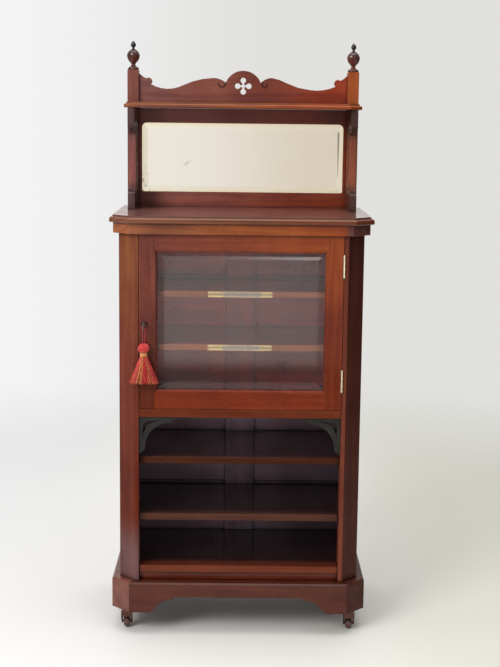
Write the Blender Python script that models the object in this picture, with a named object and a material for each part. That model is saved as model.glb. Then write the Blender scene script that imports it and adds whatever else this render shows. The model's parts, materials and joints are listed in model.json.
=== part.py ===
"""Sheet music cabinet in mahogany: castors, bracket plinth, canted body with open shelves and a glazed
cupboard, and a mirror back with a gallery shelf and a fretted crest.

Metres, +Z up, the front faces -Y. The origin is on the floor, under the middle of the cabinet's box.
"""

import math

import bmesh
import bpy
from mathutils import Matrix, Vector

# Fits
CLEARANCE = 0.0003
RUNNING_GAP = 0.0005
CUT_OVERRUN = 0.003
WELD = 0.00001
ARRIS = 0.0006

# Facets of round work
TURNED_SIDES = 24
FINIAL_SIDES = 20
SMALL_SIDES = 16
ARC_STEPS = 5
QUARTER_ARC_SHARE = math.tan(math.pi / 8)

# Body
BODY_WIDTH = 0.570
BODY_DEPTH = 0.355
BODY_HEIGHT = 0.828
BODY_CANT = 0.0378
POST_FACE = 0.0102
POST_DEPTH = 0.048
SIDE_THICKNESS = 0.018
HOUSING_DEPTH = 0.006

# Plinth
PLINTH_HEIGHT = 0.073
PLINTH_OVERHANG = 0.018
PLINTH_CANT = 0.0437
PLINTH_BOARD = 0.034
PLINTH_BLOCK = 0.068
PLINTH_CHAMFER = 0.004
ARCH_RISE = 0.038
ARCH_FOOT_WIDTH = 0.091

# Castors
CASTOR_HEIGHT = 0.056
CASTOR_INSET = 0.0345
CASTOR_FRONT_INSET = 0.046
CASTOR_REAR_INSET = 0.036
CASTOR_TRAIL = 0.008
WHEEL_DIAMETER = 0.029
WHEEL_WIDTH = 0.019
WHEEL_TREAD = 0.0038
WHEEL_CROWN = 0.0045
AXLE_DIAMETER = 0.0032
HORN_WALL = 0.003
HORN_DEPTH = 0.020
HORN_CROWN = 0.017
HORN_EYE_RADIUS = 0.005
CASTOR_PLATE_DIAMETER = 0.026
CASTOR_PLATE_THICKNESS = 0.0025
CASTOR_NECK_DIAMETER = 0.022
STEM_DIAMETER = 0.008
STEM_LENGTH = 0.030

# Boards inside the body
BOTTOM_RAIL_HEIGHT = 0.019
BOTTOM_RAIL_THICKNESS = 0.018
BOTTOM_RAIL_SETBACK = 0.012
BOTTOM_BOARD_THICKNESS = 0.0165
BOTTOM_BOARD_SETBACK = 0.006
OPEN_SHELF_THICKNESS = 0.0165
OPEN_SHELF_SETBACK = 0.020
LOWER_SHELF_TOP = 0.2896
UPPER_SHELF_TOP = 0.4290
CUPBOARD_FLOOR_TOP = 0.5480
CUPBOARD_FLOOR_THICKNESS = 0.0195
CUPBOARD_SHELF_THICKNESS = 0.014
CUPBOARD_SHELF_SETBACK = 0.024
CUPBOARD_SHELF_SHARES = (0.367, 0.6736)

# Back
BACK_SET_IN = 0.045
BACK_BOARD_THICKNESS = 0.010
BACK_GROOVE = 0.008
MUNTIN_WIDTH = 0.073
MUNTIN_THICKNESS = 0.018
FIRST_COURSE_HEIGHT = 0.129
COURSE_HEIGHT = 0.1335
COURSE_GROOVE = 0.002

# Frieze and top
FRIEZE_HEIGHT = 0.0245
FRIEZE_OVERHANG = 0.0125
FRIEZE_CANT = 0.0415
TOP_THICKNESS = 0.017
TOP_OVERHANG = 0.0212
TOP_CANT = 0.0445
THUMB_REACH = 0.006
FILLET_HEIGHT = 0.0042
FILLET_LEDGE = 0.0022
UNDER_CHAMFER = 0.0015

# Fretted brackets under the cupboard floor
FRET_WIDTH = 0.084
FRET_HEIGHT = 0.087
FRET_THICKNESS = 0.008
FRET_SETBACK = 0.004

# Door
DOOR_THICKNESS = 0.020
DOOR_SIDE_GAP = 0.0012
DOOR_END_GAP = 0.0009
STILE_WIDTH = 0.0418
TOP_RAIL_WIDTH = 0.0405
BOTTOM_RAIL_WIDTH = 0.0457
OVOLO_WIDTH = 0.005
OVOLO_DROP = 0.0045
QUIRK = 0.001
LIP_DEPTH = 0.008
GLASS_REBATE = 0.007
GLASS_THICKNESS = 0.004
GLASS_EDGE = 0.0022
GLASS_BEVEL = 0.016
BEAD_WIDTH = 0.0062

# Butt hinges
HINGE_HEIGHT = 0.053
HINGE_END_DISTANCE = 0.0425
LEAF_THICKNESS = 0.0012
LEAF_WIDTH = 0.016
KNUCKLE_RADIUS = 0.0026
KNUCKLE_COUNT = 5
KNUCKLE_PROUD = 0.001
HINGE_PIN_RADIUS = 0.0011

# Lock and key
KEY_BACKSET = 0.0120
KEY_RISE = 0.1985
LOCK_WIDTH = 0.034
LOCK_HEIGHT = 0.040
LOCK_THICKNESS = 0.0085
LOCK_WALL = 0.0014
BOLT_THROW = 0.006
BOLT_WIDTH = 0.0045
BOLT_BELOW = 0.004
BOLT_ABOVE = 0.0068
BOLT_TAIL_RISE = 0.0034
BOLT_TAIL_LENGTH = 0.010
BOLT_HEEL = 0.0036
STRIKE_DEPTH = 0.008
ESCUTCHEON_RADIUS = 0.008
ESCUTCHEON_THICKNESS = 0.0015
KEY_SHANK_RADIUS = 0.0025
KEY_BIT_LENGTH = 0.0070
KEY_BIT_DEPTH = 0.0045
KEY_BIT_THICKNESS = 0.0018
KEY_COLLAR_RADIUS = 0.0038
KEY_COLLAR_LENGTH = 0.0020
KEY_NECK = 0.0150
BOW_RADIUS = 0.0078
BOW_WIRE_RADIUS = 0.0014

# Tassel
TASSEL_CORD_RADIUS = 0.0008
TASSEL_DROP = 0.042
TASSEL_AXIS_OUT = 0.0160
TASSEL_HEAD_HEIGHT = 0.0205
TASSEL_HEAD_RADIUS = 0.0142
TASSEL_BAND_HEIGHT = 0.0090
TASSEL_BAND_RADIUS = 0.0092
SKIRT_LENGTH = 0.0650
SKIRT_HALF_WIDTH = 0.0352
SKIRT_HALF_DEPTH = 0.0135
SKIRT_LOBES = 15
SKIRT_LOBE_DEPTH_SHARE = 0.07

# Mirror back
GALLERY_POST = 0.028
GALLERY_OVERHANG = 0.003
GALLERY_POST_HEIGHT = 0.3375
GALLERY_BACK_INSET = 0.003
GALLERY_SHELF_UNDERSIDE = 0.2445
GALLERY_SHELF_THICKNESS = 0.0137
GALLERY_SHELF_DEPTH = 0.168
GALLERY_SHELF_CANT = 0.0295
GALLERY_THUMB = 0.004
SIDE_BRACKET_THICKNESS = 0.017
SIDE_BRACKET_DEPTH = 0.125
SIDE_BRACKET_WAIST = 0.034
CORBEL_FACE = 0.040
CORBEL_RADIUS = 0.011
BRACKET_NOTCH = 0.0045
FOOT_FACE = 0.034
FOOT_RADIUS = 0.009
MIRROR_FRAME_THICKNESS = 0.015
MIRROR_FRAME_SETBACK = 0.006
MIRROR_BOTTOM_RAIL = 0.0365
MIRROR_TOP_RAIL = 0.0362
MIRROR_SIDE_MEMBER = 0.0072
MIRROR_TOP_RADIUS = 0.012
MIRROR_FOOT_RADIUS = 0.003
MIRROR_REBATE = 0.005
MIRROR_REBATE_DEPTH = 0.009
MIRROR_THICKNESS = 0.004
MIRROR_EDGE = 0.0022
MIRROR_BEVEL = 0.014
MIRROR_BACKING = 0.004

# Crest and finials
CREST_HEIGHT = 0.0796
CREST_THICKNESS = 0.014
CREST_SETBACK = 0.008
QUATREFOIL_RISE = 0.042
QUATREFOIL_RADIUS = 0.0070
QUATREFOIL_REACH = 0.0139
QUATREFOIL_SLIT = 0.005
FINIAL_HEIGHT = 0.0715
FINIAL_WIDTH = 0.032
FINIAL_DOWEL_RADIUS = 0.004
FINIAL_DOWEL_LENGTH = 0.012

# Levels, from the floor up
PLINTH_LOW = CASTOR_HEIGHT
PLINTH_TOP = PLINTH_LOW + PLINTH_HEIGHT
BODY_LOW = PLINTH_TOP + CLEARANCE
BODY_TOP = BODY_LOW + BODY_HEIGHT
FRIEZE_LOW = BODY_TOP + CLEARANCE
FRIEZE_TOP = FRIEZE_LOW + FRIEZE_HEIGHT
TOP_LOW = FRIEZE_TOP + CLEARANCE
TOP_SURFACE = TOP_LOW + TOP_THICKNESS
BOTTOM_BOARD_LOW = BODY_LOW + BOTTOM_RAIL_HEIGHT + CLEARANCE
BACK_LOW = BOTTOM_BOARD_LOW + BOTTOM_BOARD_THICKNESS + CLEARANCE
CUPBOARD_SHELF_TOPS = [
    CUPBOARD_FLOOR_TOP + share * (BODY_TOP - CUPBOARD_FLOOR_TOP) for share in CUPBOARD_SHELF_SHARES
]
GALLERY_LOW = TOP_SURFACE + GALLERY_SHELF_UNDERSIDE
GALLERY_TOP = GALLERY_LOW + GALLERY_SHELF_THICKNESS

# Planes, from the front back: the key's bow reaches furthest forward
KEY_REACH = KEY_NECK + KEY_COLLAR_LENGTH + BOW_WIRE_RADIUS / 2 + 2 * BOW_RADIUS + BOW_WIRE_RADIUS
BACK_Y = (BODY_DEPTH + KEY_REACH) / 2
FRONT_Y = BACK_Y - BODY_DEPTH
HALF_BODY = BODY_WIDTH / 2
HALF_OPENING = HALF_BODY - BODY_CANT - POST_FACE
HALF_INSIDE = HALF_BODY - SIDE_THICKNESS
ARCH_HALF_WIDTH = HALF_BODY + PLINTH_OVERHANG - ARCH_FOOT_WIDTH
GALLERY_POST_OUTER = HALF_BODY + GALLERY_OVERHANG
BOARDS_BACK_Y = BACK_Y - BACK_SET_IN
BOARDS_FACE_Y = BOARDS_BACK_Y - BACK_BOARD_THICKNESS
MUNTIN_FRONT_Y = BOARDS_BACK_Y - MUNTIN_THICKNESS

# Door places
DOOR_LOW = CUPBOARD_FLOOR_TOP + DOOR_END_GAP
DOOR_HIGH = BODY_TOP - DOOR_END_GAP
HALF_DOOR = HALF_OPENING - DOOR_SIDE_GAP
HALF_SIGHT = HALF_DOOR - STILE_WIDTH
SIGHT_LOW = DOOR_LOW + BOTTOM_RAIL_WIDTH
SIGHT_HIGH = DOOR_HIGH - TOP_RAIL_WIDTH
DOOR_BACK_Y = FRONT_Y + DOOR_THICKNESS
PIN_X = HALF_OPENING - DOOR_SIDE_GAP / 2
PIN_Y = FRONT_Y - KNUCKLE_PROUD
KEY_X = KEY_BACKSET - HALF_DOOR
KEY_Z = DOOR_LOW + KEY_RISE

# Outlines as shares of the size that they follow, each point with the bulge of the arc that leaves it
ARCH_SHARES = (
    (0.726, 1, 0),
    (0.726, 0.85, -0.25),
    (0.92, 0.4, 0.17),
    (1, 0, 0),
)
CREST_LEFT_SHARES = (
    (0, 1, -0.305),
    (0.168, 0.633, -0.167),
    (0.289, 0.769, -0.105),
    (0.578, 0.535, 0.255),
    (0.889, 0.563, -1.05),
    (0.93, 0.731, 0.08),
    (1, 0.886, 0),
)
CREST_RIGHT_SHARES = (
    (0, 1, -0.305),
    (0.168, 0.633, -0.205),
    (0.277, 0.786, -0.0875),
    (0.416, 0.633, 0.093),
    (0.647, 0.427, 0.14),
    (0.889, 0.546, -1.05),
    (0.934, 0.721, 0.08),
    (1, 0.886, 0),
)
FRET_SHARES = (
    (0, 0, 0),
    (1, 0, 0),
    (1, 0.035, 0),
    (0.905, 0.156, -0.44),
    (0.167, 0.885, 0),
    (0.055, 1, 0),
    (0, 1, 0),
)
FRET_HOLE_SHARES = (
    (0.6, 0.09, 0),
    (0.25, 0.098, -0.3),
    (0.108, 0.25, 0),
    (0.105, 0.54, 0.1),
    (0.2, 0.29, 0.25),
    (0.285, 0.195, 0.05),
    (0.6, 0.09, 0),
)
FINIAL_SHARES = (
    (0, 0, 0),
    (0.8, 0, 0),
    (0.86, 0.02, 0.3),
    (0.8, 0.07, 0),
    (0.66, 0.095, -0.25),
    (0.3, 0.185, 0),
    (0.44, 0.235, 0.2),
    (1, 0.47, 0),
    (1, 0.5, 0),
    (0.97, 0.55, 0),
    (0.86, 0.565, 0),
    (0.88, 0.585, 0.15),
    (0.32, 0.7, 0),
    (0.17, 0.73, 0),
    (0.19, 0.76, 0.2),
    (0.42, 0.85, 0.2),
    (0.14, 0.965, -0.1),
    (0, 1, 0),
)
HEAD_SHARES = (
    (0, 0, 0),
    (0.3, 0.01, 0.1),
    (0.86, 0.2, 0.15),
    (1, 0.52, 0.15),
    (0.84, 0.84, 0.1),
    (0.6, 1, 0),
)
SKIRT_SHARES = ((0, 0.29), (0.12, 0.43), (0.34, 0.59), (0.54, 0.73), (0.76, 0.89), (1, 1))

# Colours: red, green, blue, roughness, metallic
MAHOGANY = (0.22, 0.055, 0.028, 0.32, 0)
DARK_MAHOGANY = (0.10, 0.026, 0.018, 0.36, 0)
BACK_WOOD = (0.075, 0.028, 0.022, 0.55, 0)
EBONISED = (0.06, 0.058, 0.05, 0.5, 0)
BRASS = (0.62, 0.42, 0.14, 0.3, 1)
STEEL = (0.32, 0.31, 0.29, 0.4, 1)
BRONZE = (0.09, 0.05, 0.035, 0.4, 1)
WHEEL_BROWN = (0.12, 0.055, 0.04, 0.4, 0)
SILVERING = (0.8, 0.78, 0.72, 0.06, 1)
GLASS = (0.9, 0.93, 0.92, 0.03, 0)
RED_SILK = (0.6, 0.05, 0.04, 0.6, 0)


# Making pieces


def clear_scene():
    for thing in list(bpy.data.objects):
        bpy.data.objects.remove(thing)


def finish(name, colour):
    """A material of the piece's own."""
    material = bpy.data.materials.new(name + "_finish")
    material.use_nodes = True
    shader = material.node_tree.nodes["Principled BSDF"]
    shader.inputs["Base Color"].default_value = (*colour[:3], 1)
    shader.inputs["Roughness"].default_value = colour[3]
    shader.inputs["Metallic"].default_value = colour[4]
    if colour is GLASS:
        shader.inputs["Transmission Weight"].default_value = 1
    return material


def piece(name, mesh, colour=None, smooth=False):
    """An object from a bmesh, with its faces turned out. Without a colour it is a cutter or a guide."""
    bmesh.ops.recalc_face_normals(mesh, faces=mesh.faces)
    data = bpy.data.meshes.new(name)
    mesh.to_mesh(data)
    mesh.free()
    made = bpy.data.objects.new(name, data)
    bpy.context.scene.collection.objects.link(made)
    if smooth:
        data.shade_smooth()
        data.set_sharp_from_angle(angle=math.radians(38))
    if colour is None:
        made.hide_render = True
        made.display_type = "WIRE"
    else:
        data.materials.append(finish(name, colour))
    return made


def change(part, tool, operation):
    modifier = part.modifiers.new(tool.name, "BOOLEAN")
    modifier.operation = operation
    modifier.object = tool
    tool.hide_render = True
    tool.display_type = "WIRE"


def cut(part, *tools):
    for tool in tools:
        change(part, tool, "DIFFERENCE")


def join(part, *tools):
    for tool in tools:
        change(part, tool, "UNION")


def set_between(axis, u, v, w):
    """The point at u, v in the plane across an axis, w along it."""
    return {"X": (w, u, v), "Y": (u, w, v), "Z": (u, v, w)}[axis]


def add_loft(mesh, rings, capped=True):
    """Skins a list of rings of equal count. Uncapped, the last ring leads back to the first."""
    loops = [[mesh.verts.new(point) for point in ring] for ring in rings]
    pairs = list(zip(loops, loops[1:]))
    if capped:
        mesh.faces.new(loops[0])
        mesh.faces.new(loops[-1])
    else:
        pairs.append((loops[-1], loops[0]))
    for low, high in pairs:
        for i, corner in enumerate(low):
            j = (i + 1) % len(low)
            mesh.faces.new((corner, low[j], high[j], high[i]))


def loft(name, rings, colour=None, capped=True, smooth=False):
    mesh = bmesh.new()
    add_loft(mesh, rings, capped)
    return piece(name, mesh, colour, smooth)


def prism(name, axis, outline, low, high, colour=None, smooth=False):
    """An outline run along an axis: x, y for Z; x, z for Y; y, z for X."""
    rings = [[set_between(axis, u, v, w) for u, v in outline] for w in (low, high)]
    return loft(name, rings, colour, smooth=smooth)


def rectangle(left, bottom, right, top):
    return [(left, bottom), (right, bottom), (right, top), (left, top)]


def boxes(name, corners, colour=None):
    """Boxes that don't meet, each from its lowest to its highest corner, in one mesh."""
    mesh = bmesh.new()
    for low, high in corners:
        outline = rectangle(low[0], low[1], high[0], high[1])
        add_loft(mesh, [[(x, y, z) for x, y in outline] for z in (low[2], high[2])])
    return piece(name, mesh, colour)


def box(name, low, high, colour=None):
    return boxes(name, [(low, high)], colour)


def turned(name, profile, place, axis="Z", colour=None, closed=False, sides=TURNED_SIDES):
    """A lathe form: (radius, height) points spun about an axis through place."""
    mesh = bmesh.new()
    verts = [mesh.verts.new((radius, 0, height)) for radius, height in profile]
    edges = [mesh.edges.new(pair) for pair in zip(verts, verts[1:])]
    if closed:
        edges.append(mesh.edges.new((verts[-1], verts[0])))
    bmesh.ops.spin(
        mesh, geom=verts + edges, cent=(0, 0, 0), axis=(0, 0, 1), angle=math.tau, steps=sides
    )
    bmesh.ops.remove_doubles(mesh, verts=mesh.verts, dist=WELD)
    turn = {"X": Matrix.Rotation(math.pi / 2, 4, "Y"), "Y": Matrix.Rotation(-math.pi / 2, 4, "X")}
    placed = Matrix.Translation(place) @ turn.get(axis, Matrix())
    bmesh.ops.transform(mesh, matrix=placed, verts=mesh.verts)
    return piece(name, mesh, colour, smooth=True)


def rod(name, radius, low, high, place, axis="Z", colour=None, sides=SMALL_SIDES):
    """A round bar or hole from low to high along an axis through place."""
    profile = [(0, low), (radius, low), (radius, high), (0, high)]
    return turned(name, profile, place, axis, colour, sides=sides)


def arc_path(points, steps=ARC_STEPS):
    """Points along straight and round stretches. Each point holds its place and a bulge: the rise of the
    arc that leaves it over half its chord, positive where the arc turns left."""
    path = []
    for (u, v, bulge), (next_u, next_v, _) in zip(points, points[1:]):
        path.append((u, v))
        if not bulge:
            continue
        heading = math.atan2(next_v - v, next_u - u)
        turn = 4 * math.atan(bulge)
        radius = math.hypot(next_u - u, next_v - v) / (2 * math.sin(turn / 2))
        count = max(2, round(steps * abs(turn) / (math.pi / 2)))
        for step in range(1, count):
            part = turn * step / count / 2
            reach = 2 * radius * math.sin(part)
            way = heading - turn / 2 + part
            path.append((u + reach * math.cos(way), v + reach * math.sin(way)))
    last = points[-1]
    return path if last[:2] == points[0][:2] else path + [last[:2]]


def scaled(shares, width, height):
    return [(u * width, v * height, bulge) for u, v, bulge in shares]


def ease(part, width=ARRIS):
    """Takes the sharp arrises off a piece of joinery."""
    modifier = part.modifiers.new("arris", "BEVEL")
    modifier.width = width
    modifier.segments = 1
    modifier.limit_method = "ANGLE"
    modifier.angle_limit = math.radians(40)


def chamfer(part, width, chosen):
    """Planes off the edges that chosen picks by their two ends."""
    mesh = bmesh.new()
    mesh.from_mesh(part.data)
    edges = [edge for edge in mesh.edges if chosen(*(vert.co for vert in edge.verts))]
    bmesh.ops.bevel(mesh, geom=edges, offset=width, segments=1, profile=0.5, affect="EDGES")
    mesh.to_mesh(part.data)
    mesh.free()


def settled(part):
    """The piece with its modifiers worked in, so that copies can share its mesh."""
    bpy.context.view_layer.update()
    graph = bpy.context.evaluated_depsgraph_get()
    mesh = bpy.data.meshes.new_from_object(part.evaluated_get(graph))
    mesh.shade_smooth()
    mesh.set_sharp_from_angle(angle=math.radians(38))
    for modifier in list(part.modifiers):
        tool = modifier.object
        part.modifiers.remove(modifier)
        bpy.data.objects.remove(tool)
    part.data = mesh
    return part


def pivot(name, place):
    empty = bpy.data.objects.new(name, None)
    bpy.context.scene.collection.objects.link(empty)
    empty.location = place
    return empty


def hang(empty, parts):
    """Parents pieces, and what cuts them, to an empty on their joint's axis."""
    bpy.context.view_layer.update()
    for part in parts:
        tools = [modifier.object for modifier in part.modifiers if modifier.type == "BOOLEAN"]
        for thing in [part, *tools]:
            thing.parent = empty
            thing.matrix_parent_inverse = empty.matrix_world.inverted()


def mirrored(outline, side):
    """An outline's points with their first value on the given side, -1 or 1."""
    return [(side * u, v) for u, v in outline]


SIDES = (("left", -1), ("right", 1))


# Boards with canted front corners


def canted_outline(half_width, front, back, cant, inset=0.0):
    """Plan with its two front corners cut at 45 degrees, drawn in by inset on all but its back edge."""
    half = half_width - inset
    near = front + inset
    corner = cant - inset * (2 - math.sqrt(2))
    return [
        (half, back),
        (-half, back),
        (-half, near + corner),
        (corner - half, near),
        (half - corner, near),
        (half, near + corner),
    ]


def thumb_profile(thickness, reach):
    """(height, inset) of a moulded edge: under chamfer, square, quarter thumb, ledge and fillet."""
    square = thickness / 3
    shoulder = thickness - FILLET_HEIGHT
    profile = [(0, UNDER_CHAMFER), (UNDER_CHAMFER, 0), (square, 0)]
    for step in range(1, ARC_STEPS + 1):
        angle = math.pi / 2 * step / ARC_STEPS
        profile.append((square + (shoulder - square) * math.sin(angle), reach * (1 - math.cos(angle))))
    profile.append((shoulder, reach + FILLET_LEDGE))
    profile.append((thickness, reach + FILLET_LEDGE))
    return profile


def moulded_board(name, half_width, front, back, cant, low, profile, colour):
    rings = []
    for height, inset in profile:
        outline = canted_outline(half_width, front, back, cant, inset)
        rings.append([(x, y, low + height) for x, y in outline])
    return loft(name, rings, colour)


# Plinth


def arch_cutter():
    """The shaped cut-out of the front board: a long flat, a step, and a swept foot on each side."""
    half = [(u, PLINTH_LOW + v) for u, v in arc_path(scaled(ARCH_SHARES, ARCH_HALF_WIDTH, ARCH_RISE))]
    half.append((ARCH_HALF_WIDTH, PLINTH_LOW - CUT_OVERRUN))
    outline = mirrored(half, -1) + half[::-1]
    front = FRONT_Y - PLINTH_OVERHANG
    return prism("arch_cutter", "Y", outline, front - CUT_OVERRUN, front + PLINTH_BOARD + CUT_OVERRUN)


def build_plinth():
    half = HALF_BODY + PLINTH_OVERHANG
    front = FRONT_Y - PLINTH_OVERHANG
    inner = front + PLINTH_BOARD
    mitre_slope = math.tan(math.pi / 8)
    mitre_gap = CLEARANCE / 2 / math.cos(math.pi / 8)
    mitre_x = half - PLINTH_CANT
    mitre_inner_x = mitre_x - PLINTH_BOARD * mitre_slope

    outline = [
        (mitre_gap - mitre_x, front),
        (mitre_x - mitre_gap, front),
        (mitre_inner_x - mitre_gap, inner),
        (mitre_gap - mitre_inner_x, inner),
    ]
    board = prism("plinth_front", "Z", outline, PLINTH_LOW, PLINTH_TOP, MAHOGANY)

    def on_front_top(a, b):
        return min(a.z, b.z) > PLINTH_TOP - WELD and max(a.y, b.y) < front + WELD

    chamfer(board, PLINTH_CHAMFER, on_front_top)
    cut(board, arch_cutter())

    glue_y = inner + CLEARANCE
    glue_x = mitre_inner_x + mitre_gap - CLEARANCE * mitre_slope
    block_x = half - PLINTH_BLOCK
    wall_x = half - PLINTH_BOARD
    rear_block_y = BACK_Y - PLINTH_BLOCK
    outline = [
        (mitre_x + mitre_gap, front),
        (half, front + PLINTH_CANT),
        (half, BACK_Y),
        (block_x, BACK_Y),
        (block_x, rear_block_y),
        (wall_x, rear_block_y),
        (wall_x, inner + PLINTH_BLOCK),
        (block_x, inner + PLINTH_BLOCK),
        (block_x, glue_y),
        (glue_x, glue_y),
    ]
    for name, side in SIDES:
        part = prism(
            "plinth_return_" + name, "Z", mirrored(outline, side), PLINTH_LOW, PLINTH_TOP, MAHOGANY
        )

        def on_outer_top(a, b):
            ends = [(abs(point.x), point.y) for point in (a, b)]
            outer = all(
                x > half - WELD or x - y > mitre_x + mitre_gap - front - 2 * mitre_gap for x, y in ends
            )
            along_back = min(a.y, b.y) > BACK_Y - WELD
            return outer and not along_back and min(a.z, b.z) > PLINTH_TOP - WELD

        chamfer(part, PLINTH_CHAMFER, on_outer_top)
        for end, (x, y) in castor_places(side).items():
            hole_radius = STEM_DIAMETER / 2 + RUNNING_GAP
            depth = STEM_LENGTH + RUNNING_GAP + CLEARANCE
            hole = rod(
                f"stem_hole_{end}_{name}", hole_radius, -CUT_OVERRUN, depth, (x, y, PLINTH_LOW)
            )
            cut(part, hole)

    box(
        "plinth_back",
        (CLEARANCE - block_x, BACK_Y - PLINTH_BOARD, PLINTH_LOW),
        (block_x - CLEARANCE, BACK_Y, PLINTH_TOP),
        DARK_MAHOGANY,
    )


# Castors


def castor_places(side):
    """Plan places of the two castors on one side of the cabinet."""
    x = side * (HALF_BODY + PLINTH_OVERHANG - CASTOR_INSET)
    return {
        "front": (x, FRONT_Y - PLINTH_OVERHANG + CASTOR_FRONT_INSET),
        "rear": (x, BACK_Y - CASTOR_REAR_INSET),
    }


def castor_horn():
    """Plate, neck and stem over a forked horn that carries the axle, made about its own swivel axis."""
    axle_z = WHEEL_DIAMETER / 2 - PLINTH_LOW
    inner = WHEEL_WIDTH / 2 + RUNNING_GAP
    outer = inner + HORN_WALL
    crown_inside = axle_z + WHEEL_DIAMETER / 2 + 3 * RUNNING_GAP
    crown = crown_inside + HORN_CROWN
    eye = HORN_EYE_RADIUS
    fork = [
        (outer, axle_z - eye),
        (outer, crown - HORN_WALL),
        (outer - HORN_WALL, crown),
        (HORN_WALL - outer, crown),
        (-outer, crown - HORN_WALL),
        (-outer, axle_z - eye),
        (-inner, axle_z - eye),
        (-inner, crown_inside),
        (inner, crown_inside),
        (inner, axle_z - eye),
    ]
    horn = prism("castor_horn", "Y", fork, -HORN_DEPTH, CASTOR_TRAIL + HORN_DEPTH, BRONZE)
    profile = arc_path(
        [
            (-HORN_DEPTH / 2, crown + CUT_OVERRUN, 0),
            (-HORN_DEPTH / 2, crown_inside, 0.12),
            (CASTOR_TRAIL - eye, axle_z, 1),
            (CASTOR_TRAIL + eye, axle_z, 0.12),
            (HORN_DEPTH / 2, crown_inside, 0),
            (HORN_DEPTH / 2, crown + CUT_OVERRUN, 0),
            (-HORN_DEPTH / 2, crown + CUT_OVERRUN, 0),
        ]
    )
    change(horn, prism("horn_side", "X", profile, -2 * outer, 2 * outer), "INTERSECT")
    plate = CASTOR_PLATE_DIAMETER / 2
    neck = CASTOR_NECK_DIAMETER / 2
    stem = STEM_DIAMETER / 2
    profile = [
        (0, crown - HORN_CROWN / 2),
        (neck, crown - HORN_CROWN / 2),
        (neck, -CASTOR_PLATE_THICKNESS - CLEARANCE),
        (plate, -CASTOR_PLATE_THICKNESS - CLEARANCE),
        (plate, -CLEARANCE),
        (stem, -CLEARANCE),
        (stem, STEM_LENGTH),
        (0, STEM_LENGTH),
    ]
    join(horn, turned("castor_stem", profile, (0, 0, 0), sides=SMALL_SIDES))
    axle_end = inner + HORN_WALL / 2
    join(horn, rod("castor_axle", AXLE_DIAMETER / 2, -axle_end, axle_end, (0, CASTOR_TRAIL, axle_z), "X"))
    return settled(horn)


def castor_wheel():
    """Barrel wheel with a hub on each side, made about its own axle."""
    bore = AXLE_DIAMETER / 2 + CLEARANCE
    radius = WHEEL_DIAMETER / 2
    hub = AXLE_DIAMETER
    half = WHEEL_WIDTH / 2
    shoulder = half - WHEEL_WIDTH / 10
    barrel = arc_path(
        [
            (radius - WHEEL_CROWN, -shoulder, 0.2),
            (radius, -WHEEL_TREAD / 2, 0),
            (radius, WHEEL_TREAD / 2, 0.2),
            (radius - WHEEL_CROWN, shoulder, 0),
        ]
    )
    profile = [
        (bore, -half),
        (hub, -half),
        (hub, -shoulder),
        *barrel,
        (hub, shoulder),
        (hub, half),
        (bore, half),
    ]
    return turned("castor_wheel", profile, (0, 0, 0), "X", WHEEL_BROWN, closed=True, sides=SMALL_SIDES)


def build_castors():
    horn = castor_horn()
    wheel = castor_wheel()
    for side_name, side in SIDES:
        for end, (x, y) in castor_places(side).items():
            label = f"{end}_{side_name}"
            fork = bpy.data.objects.new("castor_horn_" + label, horn.data.copy())
            roll = bpy.data.objects.new("castor_wheel_" + label, wheel.data.copy())
            for made, colour in ((fork, BRONZE), (roll, WHEEL_BROWN)):
                bpy.context.scene.collection.objects.link(made)
                made.data.materials.clear()
                made.data.materials.append(finish(made.name, colour))
            fork.location = (x, y, PLINTH_LOW)
            roll.parent = fork
            roll.location = (0, CASTOR_TRAIL, WHEEL_DIAMETER / 2 - PLINTH_LOW)
    bpy.data.objects.remove(horn)
    bpy.data.objects.remove(wheel)


# Body


def shelf_levels():
    """(low, high) of every board that is housed in the sides."""
    levels = [(BOTTOM_BOARD_LOW, BOTTOM_BOARD_THICKNESS)]
    levels.append((LOWER_SHELF_TOP - OPEN_SHELF_THICKNESS, OPEN_SHELF_THICKNESS))
    levels.append((UPPER_SHELF_TOP - OPEN_SHELF_THICKNESS, OPEN_SHELF_THICKNESS))
    levels.append((CUPBOARD_FLOOR_TOP - CUPBOARD_FLOOR_THICKNESS, CUPBOARD_FLOOR_THICKNESS))
    for top in CUPBOARD_SHELF_TOPS:
        levels.append((top - CUPBOARD_SHELF_THICKNESS, CUPBOARD_SHELF_THICKNESS))
    return [(low, low + thickness) for low, thickness in levels]


def housed_board(name, level, setback, under_back=False):
    """A board between the front posts that widens behind them into the sides' housings. It ends at the
    back boards, notched round the muntin, or runs on under them to the sides' rear edges."""
    post_back = FRONT_Y + POST_DEPTH + CLEARANCE
    narrow = HALF_OPENING - CLEARANCE
    wide = HALF_INSIDE + HOUSING_DEPTH - CLEARANCE
    front = FRONT_Y + setback
    outline = [
        (-wide, post_back),
        (-narrow, post_back),
        (-narrow, front),
        (narrow, front),
        (narrow, post_back),
        (wide, post_back),
    ]
    if under_back:
        outline += [(wide, BACK_Y), (-wide, BACK_Y)]
    else:
        back = BOARDS_FACE_Y - CLEARANCE
        notch = MUNTIN_WIDTH / 2 + CLEARANCE
        notch_y = MUNTIN_FRONT_Y - CLEARANCE
        outline += [(wide, back), (notch, back), (notch, notch_y)]
        outline += [(-notch, notch_y), (-notch, back), (-wide, back)]
    board = prism(name, "Z", outline, *level, MAHOGANY)
    ease(board)


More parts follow.
